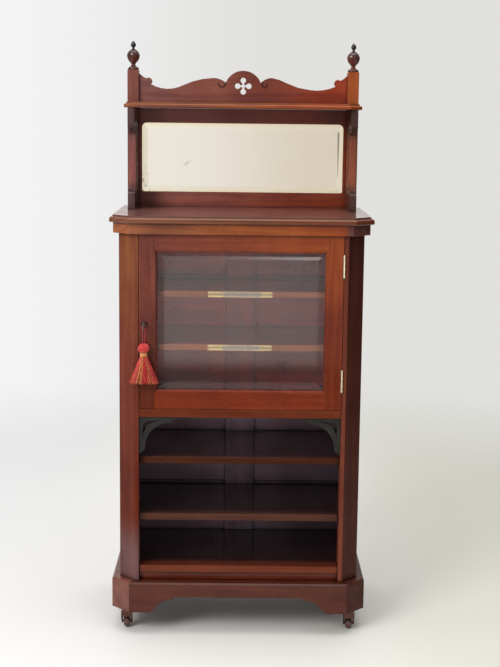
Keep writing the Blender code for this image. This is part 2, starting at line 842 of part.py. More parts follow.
def build_boards():
    bottom, lower, upper, floor, cupboard_low, cupboard_high = shelf_levels()
    housed_board("bottom_board", bottom, BOTTOM_BOARD_SETBACK, under_back=True)
    housed_board("open_shelf_lower", lower, OPEN_SHELF_SETBACK)
    housed_board("open_shelf_upper", upper, OPEN_SHELF_SETBACK)
    housed_board("cupboard_floor", floor, 0)
    housed_board("cupboard_shelf_lower", cupboard_low, CUPBOARD_SHELF_SETBACK)
    housed_board("cupboard_shelf_upper", cupboard_high, CUPBOARD_SHELF_SETBACK)
    rail_y = FRONT_Y + BOTTOM_RAIL_SETBACK
    rail_half = HALF_OPENING - CLEARANCE
    rail = box(
        "bottom_rail",
        (-rail_half, rail_y, BODY_LOW),
        (rail_half, rail_y + BOTTOM_RAIL_THICKNESS, bottom[0] - CLEARANCE),
        DARK_MAHOGANY,
    )
    ease(rail)


def build_sides():
    """Side panels with a housing for every board and a groove for the back."""
    front = FRONT_Y + POST_DEPTH + CLEARANCE
    for name, side in SIDES:
        inner, outer = sorted((side * HALF_INSIDE, side * HALF_BODY))
        panel = box("side_panel_" + name, (inner, front, BODY_LOW), (outer, BACK_Y, BODY_TOP), MAHOGANY)
        ease(panel)
        low_x, high_x = sorted((side * (HALF_INSIDE - CUT_OVERRUN), side * (HALF_INSIDE + HOUSING_DEPTH)))
        near_y = front - CUT_OVERRUN
        bottom, *shelves = shelf_levels()
        runs = [(bottom, BACK_Y + CUT_OVERRUN)]
        runs += [(level, BOARDS_FACE_Y + CUT_OVERRUN) for level in shelves]
        housings = [
            ((low_x, near_y, low - CLEARANCE), (high_x, far_y, high + CLEARANCE))
            for (low, high), far_y in runs
        ]
        low_x, high_x = sorted((side * (HALF_INSIDE - CUT_OVERRUN), side * (HALF_INSIDE + BACK_GROOVE)))
        groove = box(
            "back_groove_" + name,
            (low_x, BOARDS_FACE_Y - CLEARANCE, bottom[0]),
            (high_x, BOARDS_BACK_Y + CLEARANCE, BODY_TOP + CUT_OVERRUN),
        )
        cut(panel, boxes("housings_" + name, housings), groove)


def build_posts():
    """Canted corner posts; the left one takes the lock's bolt, the right one the hinges."""
    outline = [
        (HALF_OPENING, FRONT_Y),
        (HALF_BODY - BODY_CANT, FRONT_Y),
        (HALF_BODY, FRONT_Y + BODY_CANT),
        (HALF_BODY, FRONT_Y + POST_DEPTH),
        (HALF_OPENING, FRONT_Y + POST_DEPTH),
    ]
    for name, side in SIDES:
        post = prism("corner_post_" + name, "Z", mirrored(outline, side), BODY_LOW, BODY_TOP, MAHOGANY)
        ease(post)
        if side < 0:
            cut(post, strike_cutter())
        else:
            for place, low in hinge_levels().items():
                cut(post, *hinge_cutters("post_" + place, low, 1))


def build_back():
    """Boards laid across on the bottom board, set in from the sides' rear edges, with their ends in the
    sides' grooves and behind a central muntin."""
    lip = MUNTIN_WIDTH / 2 - BACK_GROOVE
    lip_y = BOARDS_FACE_Y - CLEARANCE
    half = MUNTIN_WIDTH / 2
    outline = [
        (-half, MUNTIN_FRONT_Y),
        (half, MUNTIN_FRONT_Y),
        (half, lip_y),
        (lip, lip_y),
        (lip, BOARDS_BACK_Y),
        (-lip, BOARDS_BACK_Y),
        (-lip, lip_y),
        (-half, lip_y),
    ]
    muntin = prism("back_muntin", "Z", outline, BACK_LOW, BODY_TOP, BACK_WOOD)
    ease(muntin)

    face = BOARDS_FACE_Y
    section = [(BOARDS_BACK_Y, BACK_LOW), (BOARDS_BACK_Y, BODY_TOP), (face, BODY_TOP)]
    joints = [BACK_LOW + FIRST_COURSE_HEIGHT]
    while joints[-1] + COURSE_HEIGHT < BODY_TOP - COURSE_GROOVE:
        joints.append(joints[-1] + COURSE_HEIGHT)
    for joint in reversed(joints):
        section.append((face, joint + COURSE_GROOVE))
        section.append((face + COURSE_GROOVE, joint))
        section.append((face, joint - COURSE_GROOVE))
    section.append((face, BACK_LOW))
    reach = HALF_INSIDE + BACK_GROOVE - CLEARANCE
    for name, side in SIDES:
        low, high = sorted((side * (lip + CLEARANCE), side * reach))
        prism("back_boards_" + name, "X", section, low, high, BACK_WOOD)


def build_frets():
    """Pierced brackets in the top corners of the open part."""
    top = CUPBOARD_FLOOR_TOP - CUPBOARD_FLOOR_THICKNESS - CLEARANCE
    front = FRONT_Y + FRET_SETBACK
    outer = arc_path(scaled(FRET_SHARES, FRET_WIDTH, FRET_HEIGHT), steps=2 * ARC_STEPS)
    hole = arc_path(scaled(FRET_HOLE_SHARES, FRET_WIDTH, FRET_HEIGHT))
    for name, side in SIDES:

        def in_corner(path):
            return [(side * (HALF_OPENING - CLEARANCE - u), top - v) for u, v in path]

        bracket = prism(
            "fret_bracket_" + name, "Y", in_corner(outer), front, front + FRET_THICKNESS, EBONISED
        )
        cutter = prism(
            "fret_hole_" + name,
            "Y",
            in_corner(hole),
            front - CUT_OVERRUN,
            front + FRET_THICKNESS + CUT_OVERRUN,
        )
        cut(bracket, cutter)


def build_top():
    frieze = prism(
        "frieze",
        "Z",
        canted_outline(HALF_BODY + FRIEZE_OVERHANG, FRONT_Y - FRIEZE_OVERHANG, BACK_Y, FRIEZE_CANT),
        FRIEZE_LOW,
        FRIEZE_TOP,
        MAHOGANY,
    )
    ease(frieze)
    moulded_board(
        "top_board",
        HALF_BODY + TOP_OVERHANG,
        FRONT_Y - TOP_OVERHANG,
        BACK_Y,
        TOP_CANT,
        TOP_LOW,
        thumb_profile(TOP_THICKNESS, THUMB_REACH),
        MAHOGANY,
    )


# Door


def moulding_section():
    """Section of a door member: distance out from the sight edge, depth back from the front face."""
    path = arc_path(
        [
            (OVOLO_WIDTH, QUIRK, -QUARTER_ARC_SHARE),
            (QUIRK, QUIRK + OVOLO_DROP, 0),
            (0, QUIRK + OVOLO_DROP, 0),
        ]
    )
    rebate = [(0, LIP_DEPTH), (GLASS_REBATE, LIP_DEPTH), (GLASS_REBATE, DOOR_THICKNESS)]
    return [(OVOLO_WIDTH, 0), *path, *rebate]


def corner_cutter(name, side, end, keeps_stile):
    """Cuts a door member to its mitred moulding and square shoulder at one corner."""
    slack = CLEARANCE / math.sqrt(2) * (1 if keeps_stile else -1)
    beyond = STILE_WIDTH + CUT_OVERRUN if not keeps_stile else -CUT_OVERRUN
    outline = [
        (-CUT_OVERRUN + slack, -CUT_OVERRUN),
        (GLASS_REBATE + slack, GLASS_REBATE),
        (GLASS_REBATE + slack, BOTTOM_RAIL_WIDTH + CUT_OVERRUN),
        (beyond, BOTTOM_RAIL_WIDTH + CUT_OVERRUN),
    ]
    if not keeps_stile:
        outline.append((beyond, -CUT_OVERRUN))
    base = SIGHT_HIGH if end > 0 else SIGHT_LOW
    placed = [(side * (HALF_SIGHT + u), base + end * v) for u, v in outline]
    return prism(name, "Y", placed, FRONT_Y - CUT_OVERRUN, DOOR_BACK_Y + CUT_OVERRUN)


def build_door_frame():
    """Stiles run the full height; rails stand between them, with the moulding mitred at each corner."""
    section = moulding_section()
    parts = []
    for name, side in SIDES:
        outline = [
            (side * (HALF_SIGHT + u), FRONT_Y + v)
            for u, v in [(STILE_WIDTH, 0), *section, (STILE_WIDTH, DOOR_THICKNESS)]
        ]
        stile = prism("door_stile_" + name, "Z", outline, DOOR_LOW, DOOR_HIGH, MAHOGANY)
        for end_name, end in (("low", -1), ("high", 1)):
            cut(stile, corner_cutter(f"stile_end_{name}_{end_name}", side, end, True))
        parts.append(stile)
    for name, end, base, width in (
        ("bottom", -1, SIGHT_LOW, BOTTOM_RAIL_WIDTH),
        ("top", 1, SIGHT_HIGH, TOP_RAIL_WIDTH),
    ):
        member = [(width, 0), *section, (width, DOOR_THICKNESS)]
        outline = [(FRONT_Y + v, base + end * u) for u, v in member]
        rail = prism("door_rail_" + name, "X", outline, -HALF_DOOR, HALF_DOOR, MAHOGANY)
        for side_name, side in SIDES:
            cut(rail, corner_cutter(f"rail_end_{name}_{side_name}", side, end, False))
        parts.append(rail)
    return parts


def bevelled_plate(name, half_width, low, high, front, thickness, edge, bevel, colour):
    """Plate glass whose front is ground back to a thin edge all round."""
    rings = []
    for inset, y in ((0, front + thickness), (0, front + thickness - edge), (bevel, front)):
        outline = rectangle(inset - half_width, low + inset, half_width - inset, high - inset)
        rings.append([(x, y, z) for x, z in outline])
    return loft(name, rings, colour)


def build_glazing():
    reach = GLASS_REBATE - 2 * CLEARANCE
    front = FRONT_Y + LIP_DEPTH + CLEARANCE
    glass = bevelled_plate(
        "door_glass",
        HALF_SIGHT + reach,
        SIGHT_LOW - reach,
        SIGHT_HIGH + reach,
        front,
        GLASS_THICKNESS,
        GLASS_EDGE,
        GLASS_BEVEL + reach,
        GLASS,
    )
    low_y = front + GLASS_THICKNESS + CLEARANCE
    round_off = BEAD_WIDTH / 2
    section = [
        (0, low_y),
        (BEAD_WIDTH, low_y),
        (BEAD_WIDTH, DOOR_BACK_Y - round_off),
        (BEAD_WIDTH - round_off / 3, DOOR_BACK_Y - round_off / 3),
        (BEAD_WIDTH - round_off, DOOR_BACK_Y),
        (0, DOOR_BACK_Y),
    ]
    rings = []
    for inset, y in section:
        out = reach - inset
        outline = rectangle(-HALF_SIGHT - out, SIGHT_LOW - out, HALF_SIGHT + out, SIGHT_HIGH + out)
        rings.append([(x, y, z) for x, z in outline])
    bead = loft("glazing_bead", rings, MAHOGANY, capped=False)
    return [glass, bead]


# Hinges


def hinge_levels():
    """Lower end of each butt hinge."""
    return {
        "lower": DOOR_LOW + HINGE_END_DISTANCE,
        "upper": DOOR_HIGH - HINGE_END_DISTANCE - HINGE_HEIGHT,
    }


def hinge_cutters(name, low, side):
    """Pocket for one leaf and for the knuckles, in the post (side 1) or in the door (side -1)."""
    face = PIN_X + side * DOOR_SIDE_GAP / 2
    deep = face + side * (LEAF_THICKNESS + CLEARANCE)
    proud = face - side * CUT_OVERRUN
    bottom, top = low - CLEARANCE, low + HINGE_HEIGHT + CLEARANCE
    near_x, far_x = sorted((proud, deep))
    pocket = box(
        "leaf_pocket_" + name,
        (near_x, FRONT_Y - CUT_OVERRUN, bottom),
        (far_x, PIN_Y + LEAF_WIDTH + CLEARANCE, top),
    )
    radius = KNUCKLE_RADIUS + RUNNING_GAP
    round_pocket = rod("knuckle_pocket_" + name, radius, bottom, top, (PIN_X, PIN_Y, 0))
    return pocket, round_pocket


def hinge_leaf(name, low, side, knuckles):
    """A leaf with its own share of the knuckles, bored for the pin."""
    face = side * DOOR_SIDE_GAP / 2
    deep = face + side * LEAF_THICKNESS
    near_x, far_x = sorted((face, deep))
    relief = KNUCKLE_RADIUS + RUNNING_GAP
    leaf = box(
        name,
        (PIN_X + near_x, PIN_Y + relief, low),
        (PIN_X + far_x, PIN_Y + LEAF_WIDTH, low + HINGE_HEIGHT),
        BRASS,
    )
    pitch = HINGE_HEIGHT / KNUCKLE_COUNT
    for index in knuckles:
        bottom = low + index * pitch + (CLEARANCE / 2 if index else 0)
        top = low + (index + 1) * pitch - (CLEARANCE / 2 if index < KNUCKLE_COUNT - 1 else 0)
        web = box(
            f"{name}_web_{index}",
            (PIN_X + near_x, PIN_Y, bottom),
            (PIN_X + far_x, PIN_Y + relief + CUT_OVERRUN, top),
        )
        barrel = rod(f"{name}_barrel_{index}", KNUCKLE_RADIUS, bottom, top, (PIN_X, PIN_Y, 0))
        join(leaf, web, barrel)
    bore = HINGE_PIN_RADIUS + CLEARANCE
    hole = rod(
        name + "_bore", bore, low - CUT_OVERRUN, low + HINGE_HEIGHT + CUT_OVERRUN, (PIN_X, PIN_Y, 0)
    )
    cut(leaf, hole)
    return leaf


def build_hinges():
    """Leaves on the door are returned; the others and the pins stay with the post."""
    door_leaves = []
    for place, low in hinge_levels().items():
        hinge_leaf(f"hinge_{place}_post_leaf", low, 1, range(0, KNUCKLE_COUNT, 2))
        door_leaves.append(hinge_leaf(f"hinge_{place}_door_leaf", low, -1, range(1, KNUCKLE_COUNT, 2)))
        rod(
            f"hinge_{place}_pin",
            HINGE_PIN_RADIUS,
            low,
            low + HINGE_HEIGHT,
            (PIN_X, PIN_Y, 0),
            colour=BRASS,
        )
    return door_leaves


# Lock


def strike_cutter():
    """Mortise in the left post that the thrown bolt enters."""
    bolt_y = DOOR_BACK_Y - LOCK_THICKNESS / 2
    reach = BOLT_WIDTH / 2 + RUNNING_GAP
    return box(
        "strike_mortise",
        (-HALF_OPENING - STRIKE_DEPTH, bolt_y - reach, KEY_Z - BOLT_BELOW - RUNNING_GAP),
        (CUT_OVERRUN - HALF_OPENING, bolt_y + reach, KEY_Z + BOLT_ABOVE + RUNNING_GAP),
    )


def keyhole(name, low_y, high_y):
    """A round hole for the shank with a slot below it for the bit, as two cutters."""
    radius = KEY_SHANK_RADIUS + RUNNING_GAP
    slot = KEY_BIT_THICKNESS / 2 + RUNNING_GAP
    shaft = rod(name + "_round", radius, low_y, high_y, (KEY_X, 0, KEY_Z), "Y")
    slit = box(
        name + "_slot",
        (KEY_X - slot, low_y, KEY_Z - KEY_BIT_LENGTH - RUNNING_GAP),
        (KEY_X + slot, high_y, KEY_Z),
    )
    return shaft, slit


def build_lock(stile):
    """Case let into the back of the lock stile, bolt, escutcheon, key. The key's bit turns down to left."""
    case_y = DOOR_BACK_Y - LOCK_THICKNESS
    edge_x = -HALF_DOOR
    case_low = (edge_x + CLEARANCE, case_y, KEY_Z - LOCK_HEIGHT / 2)
    case_high = (edge_x + LOCK_WIDTH, DOOR_BACK_Y, KEY_Z + LOCK_HEIGHT / 2)
    case = box("lock_case", case_low, case_high, BRASS)
    slack = CLEARANCE
    mortise = box(
        "lock_mortise",
        (edge_x - CUT_OVERRUN, case_y - slack, case_low[2] - slack),
        (case_high[0] + slack, DOOR_BACK_Y + CUT_OVERRUN, case_high[2] + slack),
    )
    cut(stile, mortise, *keyhole("stile_keyhole", FRONT_Y - CUT_OVERRUN, case_y + CUT_OVERRUN))

    inner_low_y = case_y + LOCK_WALL
    inner_high_y = DOOR_BACK_Y - LOCK_WALL
    tail_end = KEY_X + BOLT_TAIL_LENGTH
    channel = box(
        "bolt_channel",
        (edge_x - CUT_OVERRUN, inner_low_y, KEY_Z - BOLT_BELOW - CLEARANCE),
        (tail_end + RUNNING_GAP, inner_high_y, KEY_Z + BOLT_ABOVE + CLEARANCE),
    )
    sweep = rod(
        "bit_pocket",
        KEY_BIT_LENGTH + RUNNING_GAP,
        inner_low_y,
        inner_high_y,
        (KEY_X, 0, KEY_Z),
        "Y",
        sides=TURNED_SIDES,
    )
    cut(case, channel, sweep, *keyhole("case_keyhole", case_y - CUT_OVERRUN, inner_low_y + CUT_OVERRUN / 2))

    heel = KEY_X - BOLT_HEEL
    outline = [
        (edge_x + CLEARANCE, KEY_Z - BOLT_BELOW),
        (heel, KEY_Z - BOLT_BELOW),
        (heel, KEY_Z + BOLT_TAIL_RISE),
        (tail_end, KEY_Z + BOLT_TAIL_RISE),
        (tail_end, KEY_Z + BOLT_ABOVE),
        (edge_x + CLEARANCE, KEY_Z + BOLT_ABOVE),
    ]
    bolt_y = DOOR_BACK_Y - LOCK_THICKNESS / 2
    bolt = prism("lock_bolt", "Y", outline, bolt_y - BOLT_WIDTH / 2, bolt_y + BOLT_WIDTH / 2, BRASS)

    face = FRONT_Y - CLEARANCE
    ring = [
        (0, face - ESCUTCHEON_THICKNESS),
        (ESCUTCHEON_RADIUS - ESCUTCHEON_THICKNESS, face - ESCUTCHEON_THICKNESS),
        (ESCUTCHEON_RADIUS, face),
        (0, face),
    ]
    escutcheon = turned("escutcheon", ring, (KEY_X, 0, KEY_Z), "Y", BRASS)
    cut(escutcheon, *keyhole("escutcheon_keyhole", face - 2 * CUT_OVERRUN, face + CUT_OVERRUN))
    return case, bolt, escutcheon


def build_key():
    """Round shank with a collar, a ring bow and a plain bit."""
    bolt_y = DOOR_BACK_Y - LOCK_THICKNESS / 2
    tip_y = bolt_y + KEY_BIT_DEPTH / 2
    neck_y = FRONT_Y - KEY_NECK
    collar_y = neck_y - KEY_COLLAR_LENGTH
    bow_y = collar_y - BOW_RADIUS - BOW_WIRE_RADIUS / 2
    profile = [
        (0, collar_y - BOW_WIRE_RADIUS),
        (KEY_SHANK_RADIUS, collar_y - BOW_WIRE_RADIUS),
        (KEY_SHANK_RADIUS, collar_y),
        (KEY_COLLAR_RADIUS, collar_y),
        (KEY_COLLAR_RADIUS, neck_y),
        (KEY_SHANK_RADIUS, neck_y),
        (KEY_SHANK_RADIUS, tip_y),
        (0, tip_y),
    ]
    key = turned("key", profile, (KEY_X, 0, KEY_Z), "Y", STEEL, sides=SMALL_SIDES)
    wire = []
    for step in range(SMALL_SIDES // 2):
        angle = math.tau * step / (SMALL_SIDES // 2)
        wire.append((BOW_RADIUS + BOW_WIRE_RADIUS * math.cos(angle), BOW_WIRE_RADIUS * math.sin(angle)))
    bow = turned("key_bow", wire, (KEY_X, bow_y, KEY_Z), "X", closed=True)
    half = KEY_BIT_THICKNESS / 2
    bit = box(
        "key_bit",
        (KEY_X - half, tip_y - KEY_BIT_DEPTH, KEY_Z - KEY_BIT_LENGTH),
        (KEY_X + half, tip_y - CLEARANCE, KEY_Z),
    )
    join(key, bow, bit)
    return key


# Tassel

# Route of the cord from the head round the key's shank and back: right of, out from and above the key
TASSEL_ROUTE = (
    (-0.0022, -0.0160, -0.0417),
    (-0.0022, -0.0160, -0.0385),
    (-0.0024, -0.0158, -0.0340),
    (-0.0027, -0.0154, -0.0270),
    (-0.0031, -0.0146, -0.0180),
    (-0.0034, -0.0136, -0.0090),
    (-0.0036, -0.0127, -0.0030),
    (-0.0035, -0.0122, 0.0008),
    (-0.0026, -0.0119, 0.0026),
    (-0.0010, -0.0118, 0.0036),
    (0.0010, -0.0118, 0.0036),
    (0.0026, -0.0119, 0.0026),
    (0.0035, -0.0122, 0.0008),
    (0.0036, -0.0127, -0.0030),
    (0.0034, -0.0136, -0.0090),
    (0.0031, -0.0146, -0.0180),
    (0.0027, -0.0154, -0.0270),
    (0.0024, -0.0158, -0.0340),
    (0.0022, -0.0160, -0.0385),
    (0.0022, -0.0160, -0.0417),
)
CORD_STEPS = 2


def smooth_route(route, steps):
    """Points of a smooth curve through the route's own points."""
    points = [Vector(point) for point in route]
    padded = [2 * points[0] - points[1], *points, 2 * points[-1] - points[-2]]
    path = []
    for before, start, end, after in zip(padded, padded[1:], padded[2:], padded[3:]):
        for step in range(steps):
            t = step / steps
            path.append(
                ((2 * start) + (end - before) * t + (2 * before - 5 * start + 4 * end - after) * t**2
                 + (3 * start - before - 3 * end + after) * t**3) / 2
            )
    return [*path, points[-1]]


def build_tassel():
    """Cord loop on the key's shank, wrapped head with its band, and a flared skirt of threads."""
    axis_y = FRONT_Y - TASSEL_AXIS_OUT
    origin = Vector((KEY_X, FRONT_Y, KEY_Z))
    data = bpy.data.curves.new("tassel_cord", "CURVE")
    data.dimensions = "3D"
    data.bevel_depth = TASSEL_CORD_RADIUS
    data.bevel_resolution = 2
    data.use_fill_caps = True
    path = [origin + point for point in smooth_route(TASSEL_ROUTE, CORD_STEPS)]
    spline = data.splines.new("POLY")
    spline.points.add(len(path) - 1)
    for slot, point in zip(spline.points, path):
        slot.co = (*point, 1)
    cord = bpy.data.objects.new("tassel_cord", data)
    data.materials.append(finish("tassel_cord", RED_SILK))
    bpy.context.scene.collection.objects.link(cord)

    top = KEY_Z - TASSEL_DROP
    head_path = arc_path(scaled(HEAD_SHARES, TASSEL_HEAD_RADIUS, TASSEL_HEAD_HEIGHT))
    profile = [(u, -v) for u, v in head_path]
    band_bottom = TASSEL_HEAD_HEIGHT + TASSEL_BAND_HEIGHT
    profile += [
        (TASSEL_BAND_RADIUS, -TASSEL_HEAD_HEIGHT),
        (TASSEL_BAND_RADIUS, -band_bottom),
        (0, -band_bottom),
    ]
    head = turned("tassel_head", profile, (KEY_X, axis_y, top), colour=RED_SILK)

    rings = []
    skirt_top = top - band_bottom - CLEARANCE
    for drop_share, width_share in SKIRT_SHARES:
        ring = []
        count = 4 * SKIRT_LOBES
        depth = SKIRT_HALF_DEPTH * min(1, width_share * SKIRT_HALF_WIDTH / SKIRT_HALF_DEPTH)
        for step in range(count):
            angle = math.tau * step / count
            lobe = 1 - SKIRT_LOBE_DEPTH_SHARE * (1 - math.cos(SKIRT_LOBES * angle)) / 2
            ring.append(
                (
                    KEY_X + SKIRT_HALF_WIDTH * width_share * lobe * math.cos(angle),
                    axis_y + depth * lobe * math.sin(angle),
                    skirt_top - SKIRT_LENGTH * drop_share,
                )
            )
        rings.append(ring)
    skirt = loft("tassel_skirt", rings, RED_SILK, smooth=True)
    return [cord, head, skirt]


# Mirror back


def gallery_post_box():
    """Nearest and furthest x and y of a rear post, on the right."""
    back = BACK_Y - GALLERY_BACK_INSET
    return GALLERY_POST_OUTER - GALLERY_POST, GALLERY_POST_OUTER, back - GALLERY_POST, back


def build_gallery_posts():
    near, far, front, back = gallery_post_box()
    low = TOP_SURFACE + CLEARANCE
    high = TOP_SURFACE + GALLERY_POST_HEIGHT
    for name, side in SIDES:
        low_x, high_x = sorted((side * near, side * far))
        post = box("gallery_post_" + name, (low_x, front, low), (high_x, back, high), MAHOGANY)
        ease(post)
        centre = ((low_x + high_x) / 2, (front + back) / 2, high)
        hole = rod(
            "dowel_hole_" + name,
            FINIAL_DOWEL_RADIUS + CLEARANCE,
            -FINIAL_DOWEL_LENGTH - 2 * CLEARANCE,
            CUT_OVERRUN,
            centre,
        )
        cut(post, hole)
        build_finial(name, centre)


def build_finial(name, centre):
    """Turned urn finial with a dowel into the post."""
    shape = arc_path(scaled(FINIAL_SHARES, FINIAL_WIDTH / 2, FINIAL_HEIGHT - CLEARANCE))
    profile = [
        (0, -FINIAL_DOWEL_LENGTH),
        (FINIAL_DOWEL_RADIUS, -FINIAL_DOWEL_LENGTH),
        (FINIAL_DOWEL_RADIUS, CLEARANCE),
    ]
    profile += [(radius, height + CLEARANCE) for radius, height in shape[1:]]
    turned("finial_" + name, profile, centre, colour=MAHOGANY, sides=FINIAL_SIDES)


def build_side_brackets():
    """Shaped boards between the top and the gallery shelf, cut back to a waist."""
    near, _, post_front, _ = gallery_post_box()
    back = post_front - CLEARANCE
    front = back - SIDE_BRACKET_DEPTH
    waist = front + SIDE_BRACKET_WAIST
    low = TOP_SURFACE + CLEARANCE
    high = GALLERY_LOW - CLEARANCE
    corbel = high - CORBEL_FACE
    foot = low + FOOT_FACE
    outline = arc_path(
        [
            (back, low, 0),
            (back, high, 0),
            (front, high, 0),
            (front, corbel, QUARTER_ARC_SHARE),
            (front + CORBEL_RADIUS, corbel - CORBEL_RADIUS, 0),
            (front + CORBEL_RADIUS + BRACKET_NOTCH, corbel - CORBEL_RADIUS, 0),
            (front + CORBEL_RADIUS + BRACKET_NOTCH, corbel - CORBEL_RADIUS - BRACKET_NOTCH, -0.3),
            (waist, corbel - 2 * CORBEL_RADIUS, 0),
            (waist, foot + 2 * FOOT_RADIUS, -0.3),
            (front + FOOT_RADIUS + BRACKET_NOTCH, foot + FOOT_RADIUS + BRACKET_NOTCH, 0),
            (front + FOOT_RADIUS + BRACKET_NOTCH, foot + FOOT_RADIUS, 0),
            (front + FOOT_RADIUS, foot + FOOT_RADIUS, QUARTER_ARC_SHARE),
            (front, foot, 0),
            (front, low, 0),
            (back, low, 0),
        ]
    )
    for name, side in SIDES:
        edges = sorted((side * (near + ARRIS), side * (near + ARRIS + SIDE_BRACKET_THICKNESS)))
        prism("shelf_bracket_" + name, "X", outline, *edges, MAHOGANY)


def build_gallery_shelf():
    near, far, post_front, post_back = gallery_post_box()
    shelf = moulded_board(
        "gallery_shelf",
        GALLERY_POST_OUTER,
        post_back - GALLERY_SHELF_DEPTH,
        post_back,
        GALLERY_SHELF_CANT,
        GALLERY_LOW,
        thumb_profile(GALLERY_SHELF_THICKNESS, GALLERY_THUMB),
        MAHOGANY,
    )
    notches = []
    for _, side in SIDES:
        low_x, high_x = sorted((side * (near - CLEARANCE), side * (far + CUT_OVERRUN)))
        notches.append(
            (
                (low_x, post_front - CLEARANCE, GALLERY_LOW - CUT_OVERRUN),
                (high_x, post_back + CUT_OVERRUN, GALLERY_TOP + CUT_OVERRUN),
            )
        )
    cut(shelf, boxes("post_notches", notches))


def mirror_sight(half, low, high):
    """Outline of the frame's opening, rounder in its upper corners."""
    quarter = QUARTER_ARC_SHARE
    foot = MIRROR_FOOT_RADIUS
    head = MIRROR_TOP_RADIUS
    return arc_path(
        [
            (foot - half, low, 0),
            (half - foot, low, quarter),
            (half, low + foot, 0),
            (half, high - head, quarter),
            (half - head, high, 0),
            (head - half, high, quarter),
            (-half, high - head, 0),
            (-half, low + foot, quarter),
            (foot - half, low, 0),
        ]
    )


def build_mirror():
    """Frame between the posts, rebated behind for a bevelled mirror and its backing."""
    near, _, post_front, _ = gallery_post_box()
    front = post_front + MIRROR_FRAME_SETBACK
    back = front + MIRROR_FRAME_THICKNESS
    half = near - CLEARANCE
    low = TOP_SURFACE + CLEARANCE
    high = GALLERY_LOW - CLEARANCE
    frame = box("mirror_frame", (-half, front, low), (half, back, high), MAHOGANY)
    sight_half = half - MIRROR_SIDE_MEMBER
    sight_low = low + MIRROR_BOTTOM_RAIL
    sight_high = high - MIRROR_TOP_RAIL
    opening = prism(
        "mirror_opening",
        "Y",
        mirror_sight(sight_half, sight_low, sight_high),
        front - CUT_OVERRUN,
        back + CUT_OVERRUN,
    )
    rebate_y = back - MIRROR_REBATE_DEPTH
    rebate = box(
        "mirror_rebate",
        (-sight_half - MIRROR_REBATE, rebate_y, sight_low - MIRROR_REBATE),
        (sight_half + MIRROR_REBATE, back + CUT_OVERRUN, sight_high + MIRROR_REBATE),
    )
    cut(frame, opening, rebate)
    reach = MIRROR_REBATE - CLEARANCE
    mirror_y = rebate_y + CLEARANCE
    bevelled_plate(
        "mirror",
        sight_half + reach,
        sight_low - reach,
        sight_high + reach,
        mirror_y,
        MIRROR_THICKNESS,
        MIRROR_EDGE,
        MIRROR_BEVEL + reach,
        SILVERING,
    )
    backing_y = mirror_y + MIRROR_THICKNESS + CLEARANCE
    box(
        "mirror_backing",
        (-sight_half - reach, backing_y, sight_low - reach),
        (sight_half + reach, backing_y + MIRROR_BACKING, sight_high + reach),
        BACK_WOOD,
    )


def quatrefoil():
    """Four round lobes joined by two crossing slits, about zero."""
    half_slit = QUATREFOIL_SLIT / 2
    throat = QUATREFOIL_REACH - math.sqrt(QUATREFOIL_RADIUS**2 - half_slit**2)
    sweep = math.tau - 2 * math.asin(half_slit / QUATREFOIL_RADIUS)
    lobe = [(half_slit, throat, math.tan(sweep / 4)), (-half_slit, throat, 0), (-half_slit, half_slit, 0)]
    points = []
    for _ in range(4):
        points += lobe
        lobe = [(-v, u, bulge) for u, v, bulge in lobe]
    return arc_path([*points, points[0]], steps=4)


def build_crest():
    """Fretted board between the posts: arch, two lobes with long swept ends, and a pierced quatrefoil."""
    near, _, post_front, _ = gallery_post_box()
    half = near - CLEARANCE
    base = GALLERY_TOP + CLEARANCE
    front = post_front + CREST_SETBACK
    right, left = (
        arc_path(scaled(shares, half, CREST_HEIGHT), steps=2 * ARC_STEPS)
        for shares in (CREST_RIGHT_SHARES, CREST_LEFT_SHARES)
    )
    outline = [(-half, 0), *mirrored(left, -1)[:0:-1], *right, (half, 0)]
    placed = [(x, base + z) for x, z in outline]
    crest = prism("crest", "Y", placed, front, front + CREST_THICKNESS, MAHOGANY)
    centre = base + QUATREFOIL_RISE
    piercing = prism(
        "quatrefoil",
        "Y",
        [(x, centre + z) for x, z in quatrefoil()],
        front - CUT_OVERRUN,
        front + CREST_THICKNESS + CUT_OVERRUN,
    )
    cut(crest, piercing)


def build_door():
    frame = build_door_frame()
    leaves = build_hinges()
    for place, low in hinge_levels().items():
        cut(frame[1], *hinge_cutters("door_" + place, low, -1))
    case, bolt, escutcheon = build_lock(frame[0])
    key = build_key()
    tassel = build_tassel()
    door_pivot = pivot("door_pivot", (PIN_X, PIN_Y, DOOR_LOW))
    key_pivot = pivot("key_pivot", (KEY_X, FRONT_Y, KEY_Z))
    tassel_pivot = pivot("tassel_pivot", (KEY_X, FRONT_Y, KEY_Z))
    hang(door_pivot, [*frame, *leaves, *build_glazing(), case, bolt, escutcheon, key_pivot, tassel_pivot])
    hang(key_pivot, [key])
    hang(tassel_pivot, tassel)


def main():
    clear_scene()
    build_plinth()
    build_castors()
    build_sides()
    build_posts()
    build_boards()
    build_back()
    build_frets()
    build_top()
    build_door()
    build_gallery_posts()
    build_side_brackets()
    build_gallery_shelf()
    build_mirror()
    build_crest()


main()
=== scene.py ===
"""Sheet music cabinet: finishes, tassel, small fittings, lights and camera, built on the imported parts."""

import json
import math
import random

import bmesh
import bpy
from mathutils import Matrix, Vector


